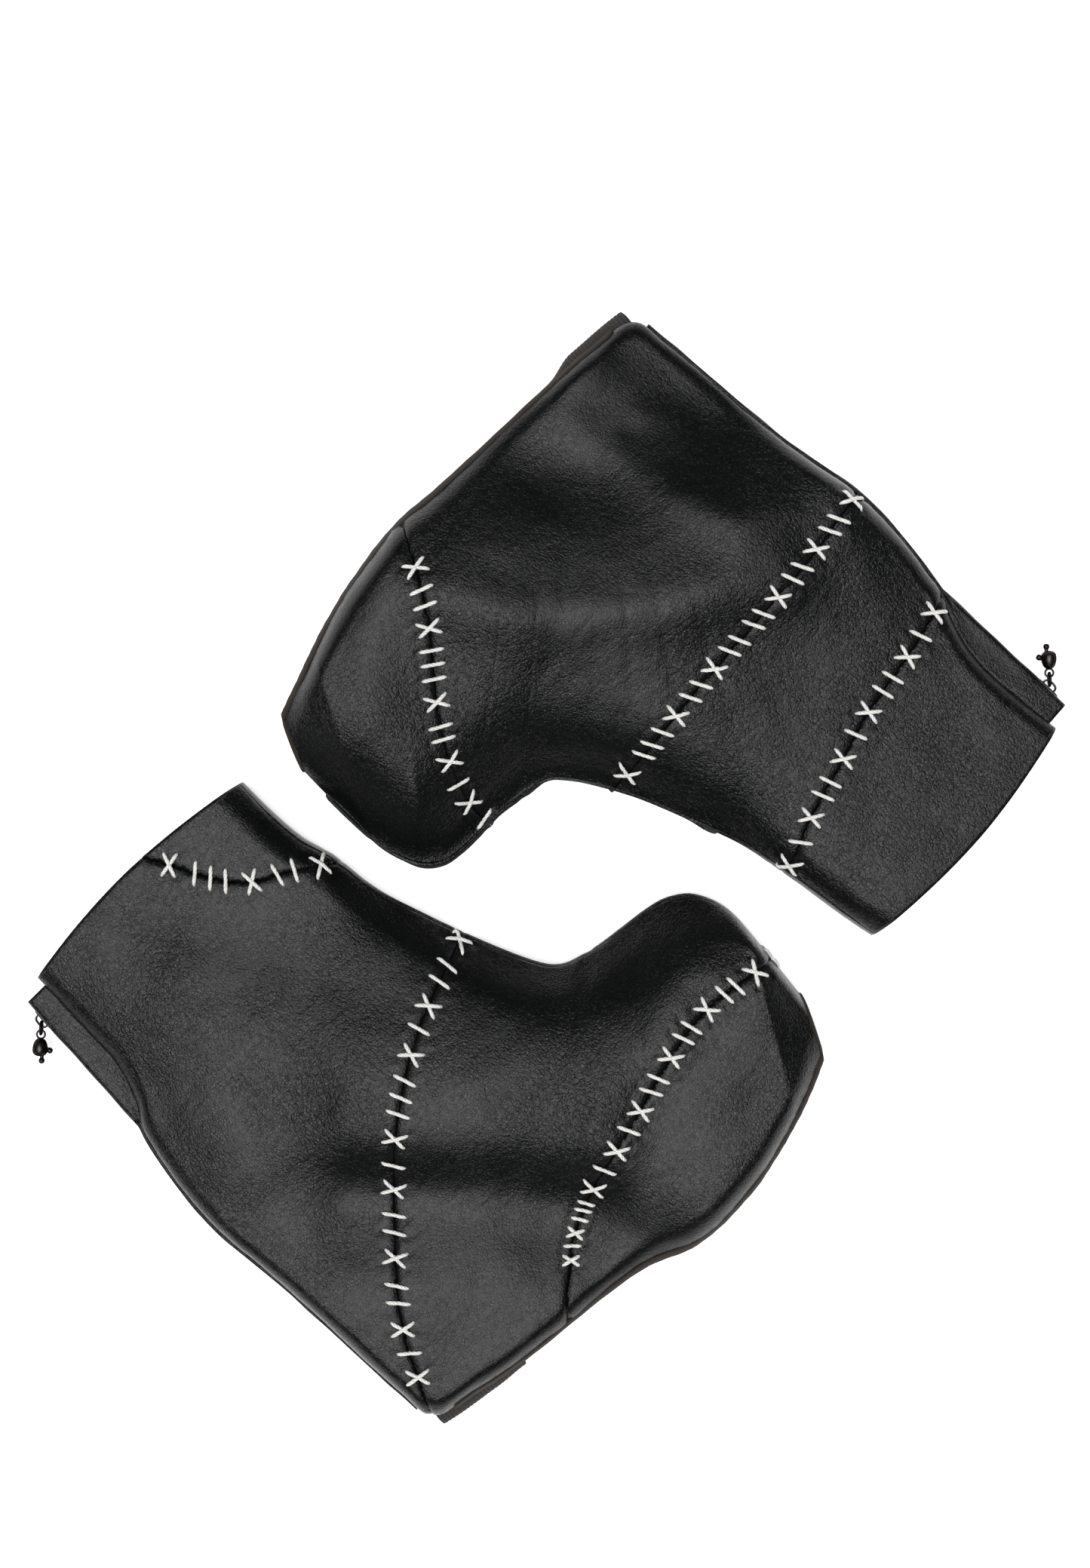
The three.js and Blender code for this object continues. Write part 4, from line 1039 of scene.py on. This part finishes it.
def coil_side(cover, side, label):
    """One side's nylon coil: a flattened helix of fine monofilament."""
    turns = int((ZIP_TOP - ZIP_BOTTOM) / COIL_PITCH)
    w = np.linspace(0, 2 * math.pi * turns, turns * 12 + 1)
    height = ZIP_BOTTOM + 0.4 + (w / (2 * math.pi)) * COIL_PITCH * 0.995
    point, outward = cover.zip_line(height)
    wire = 0.36
    half_wide, half_deep = CHAIN_WIDTH / 2 - wire + 0.35, CHAIN_DEPTH / 2 - wire
    centre = CHAIN_GAP + CHAIN_WIDTH / 2 - 0.3
    path = point + outward * (CHAIN_DEPTH / 2 + half_deep * np.sin(w))[:, None]
    path[:, 2] += side * (centre + half_wide * np.cos(w) * (1 + 0.1 * np.cos(w)))
    ways = unit(np.gradient(path, axis=0))
    first = unit(np.cross(ways, np.cross(outward, (0, 0, 1))))
    second = np.cross(ways, first)
    around = circle(wire, wire, 6)
    rings = path[:, None] + first[:, None] * around[None, :, :1] + second[:, None] * around[None, :, 1:]
    bm = bmesh.new()
    sheet(bm, rings)
    close_up(bm, 0.004)
    finish_piece(bm, cover, f"{label}_coil_teeth", (COIL,), f"{label}_zip_coil")


def slider_frame(cover):
    """+X away from the boot, +Y up the zip, origin on the zip's middle line."""
    point, outward = cover.zip_line(np.array([float(SLIDER_HEIGHT)]))
    x, z = Vector(outward[0]), Vector((0, 0, -1))
    y = z.cross(x)
    return Matrix.Translation(point[0]) @ Matrix((x, y, z)).transposed().to_4x4()


def slider_and_pull(cover):
    """The slider with its two plates and bridge, the wire loop, and the bell-shaped charm."""
    place = slider_frame(cover)
    bm = bmesh.new()
    half = SLIDER_LENGTH / 2
    for level, thick, flange in ((OUTER_PLATE, PLATE, -1), (INNER_PLATE - PLATE, PLATE, 0)):
        rings = []
        for y in np.linspace(-half, half, 33):
            body = np.interp(y, (-half, -half + 1.5, 1, half - 1.5, half), (0.66, 0.85, 1, 1, 0.72))
            end_round = math.sqrt(max(0.0, 1 - (abs(y) / half) ** 12))
            width = SLIDER_HALF_WIDTH * body * (0.55 + 0.45 * end_round)
            outline = rounded_box(thick / 2 * (0.35 + 0.65 * end_round), width, 4, 32)
            ring = []
            for x, z in outline:
                bend = flange * 1.1 * smoothstep(abs(z) / width, 0.86, 1.0) if flange else 0
                ring.append((level + thick / 2 + x + float(bend), y, z))
            rings.append(ring)
        sheet(bm, rings)
        close_up(bm)
    post = [(x, half - 1.6, 0) for x in np.linspace(INNER_PLATE, OUTER_PLATE, 5)]
    sweep(bm, post, rounded_box(0.3, 1.0, 4))
    arch = spline([(2.9, -3.0), (3.5, -3.0), (4.6, -2.9), (5.5, -2.1), (5.75, -1.0), (5.78, 0), (5.75, 1.0),
                   (5.5, 2.1), (4.6, 2.9), (3.5, 3.0), (2.9, 3.0)], np.linspace(0, 1, 41))
    sweep(bm, np.column_stack([arch, 0 * arch[:, 0]]), rounded_box(1.0, 0.42, 4))
    close_up(bm)
    bm.transform(place)
    finish_piece(bm, cover, "slider_body", (NICKEL,), "zip_slider", "slider")

    place = place @ Matrix.Translation((PIVOT, 0, 0)) @ Matrix.Rotation(PULL_ANGLE, 4, "Z")
    turn = np.linspace(0, 2 * math.pi, 41)[:-1]
    long, wide = (LOOP_LENGTH - WIRE) / 2, (LOOP_WIDTH - WIRE) / 2
    ring = np.column_stack([long - long * np.cos(turn), 0 * turn, wide * np.sin(turn)])
    bm = bmesh.new()
    sweep(bm, ring, circle(WIRE / 2, WIRE / 2, 12), (0, 1, 0), closed=True)
    close_up(bm)
    bm.transform(place)
    finish_piece(bm, cover, "loop_wire", (NICKEL,), "pull_loop", "pull")

    place = place @ Matrix.Translation((LOOP_LENGTH - WIRE, 0, 0))
    bm = bmesh.new()
    eye = np.column_stack([1.8 * np.cos(turn), 1.8 * np.sin(turn), 0 * turn])
    sweep(bm, eye, circle(0.6, 0.45, 12), closed=True)
    start = 1.65
    bell = [(0, 0), (0.05, 0.9), (0.5, 1.7), (1.2, 2.4), (3.0, 3.1), (5.0, 3.3), (6.6, 3.0), (7.5, 2.1),
            (7.9, 0.9), (8.0, 0)]
    revolve(bm, [(start + x, radius) for x, radius in bell])
    for turned, x, y in ((0, start + 6.8, -1), (-1.1, start + 3.8, -1.6)):
        knob = Matrix.Translation((x, y, 0)) @ Matrix.Rotation(turned, 4, "Z")
        revolve(bm, [(0, 0), (0.02, 1.0), (1.0, 0.85), (1.9, 0.85), (2.3, 1.15), (3.0, 1.32), (3.8, 1.15),
                     (4.25, 0.6), (4.35, 0)], knob, 24)
    close_up(bm)
    bm.transform(place)
    finish_piece(bm, cover, "charm_body", (NICKEL,), "pull_charm", "charm")


for each in COVERS:
    rows = stitch_rows(each)
    for way in (1, -1):
        surface_tree = side_piece(each, way, rows)
        hand_stitches(each, way, surface_tree, rows)
        topstitching(each, way, surface_tree)
    sole_binding(each)
    heel_strap(each)
    zip_sides(each)
    slider_and_pull(each)


# ---- stage
WALL_LIGHT, SOFTBOX_LIGHT, LOW_LIGHT = 0.05, 7.2, 1.2
SOFTBOX_TILT = math.radians(9)  # from straight overhead, towards the right cover's back
SOFTBOX_EDGE = (0.87, 0.985)  # cosines of the angles from its middle where it fades in and is full


def stage():
    """A white table, faintly glowing so that it stays pale."""
    floor_mesh = bpy.data.meshes.new("floor")
    bm = bmesh.new()
    bmesh.ops.create_grid(bm, x_segments=1, y_segments=1, size=3)
    bm.to_mesh(floor_mesh)
    bm.free()
    floor = bpy.data.objects.new("floor", floor_mesh)
    bpy.context.scene.collection.objects.link(floor)
    paper = Shader("white table", Roughness=0.9)
    paper.set("Base Color", (0.9, 0.9, 0.9, 1))
    paper.set("Emission Color", (1, 1, 1, 1))
    paper.set("Emission Strength", 0.6)
    floor_mesh.materials.append(paper.material)


def camera():
    """Straight above the pair, rolled so that the right cover's sole runs up to the right."""
    data = bpy.data.cameras.new("camera")
    height, level, view_height = 1.1, 0.014, 0.686  # metres; the view's height is measured at that level
    data.sensor_width = 36
    data.lens = data.sensor_width * (height - level) / view_height
    item = bpy.data.objects.new("camera", data)
    aim = RIGHT.place @ Vector((226.4, 164.0, 0))
    item.location = (aim.x, aim.y, height)
    item.rotation_euler = (0, 0, math.radians(-44.2))
    bpy.context.scene.collection.objects.link(item)
    bpy.context.scene.camera = item


def world():
    """A softbox nearly overhead, dim walls, and a low skirting of light just above the table."""
    scene = bpy.context.scene
    scene.world = bpy.data.worlds.new("studio")
    scene.world.use_nodes = True
    tree = scene.world.node_tree
    sky = Shader.on_tree(tree)
    direction = sky.node("ShaderNodeTexCoord")["Generated"]
    height = sky.node("ShaderNodeSeparateXYZ", {}, {0: direction})[2]
    middle = (-math.sin(SOFTBOX_TILT), 0, math.cos(SOFTBOX_TILT))
    between = sky.node("ShaderNodeVectorMath", {"operation": "DOT_PRODUCT"}, {0: direction, 1: middle})
    overhead = between["Value"].between(*SOFTBOX_EDGE)
    low = 1 - height.between(0.06, 0.26)
    strength = WALL_LIGHT + overhead * SOFTBOX_LIGHT + low * LOW_LIGHT
    background = tree.nodes["Background"]
    background.inputs["Color"].default_value = (1, 1, 1, 1)
    sky.plug(background.inputs["Strength"], strength)
    scene.view_settings.view_transform = "Standard"


stage()
camera()
world()
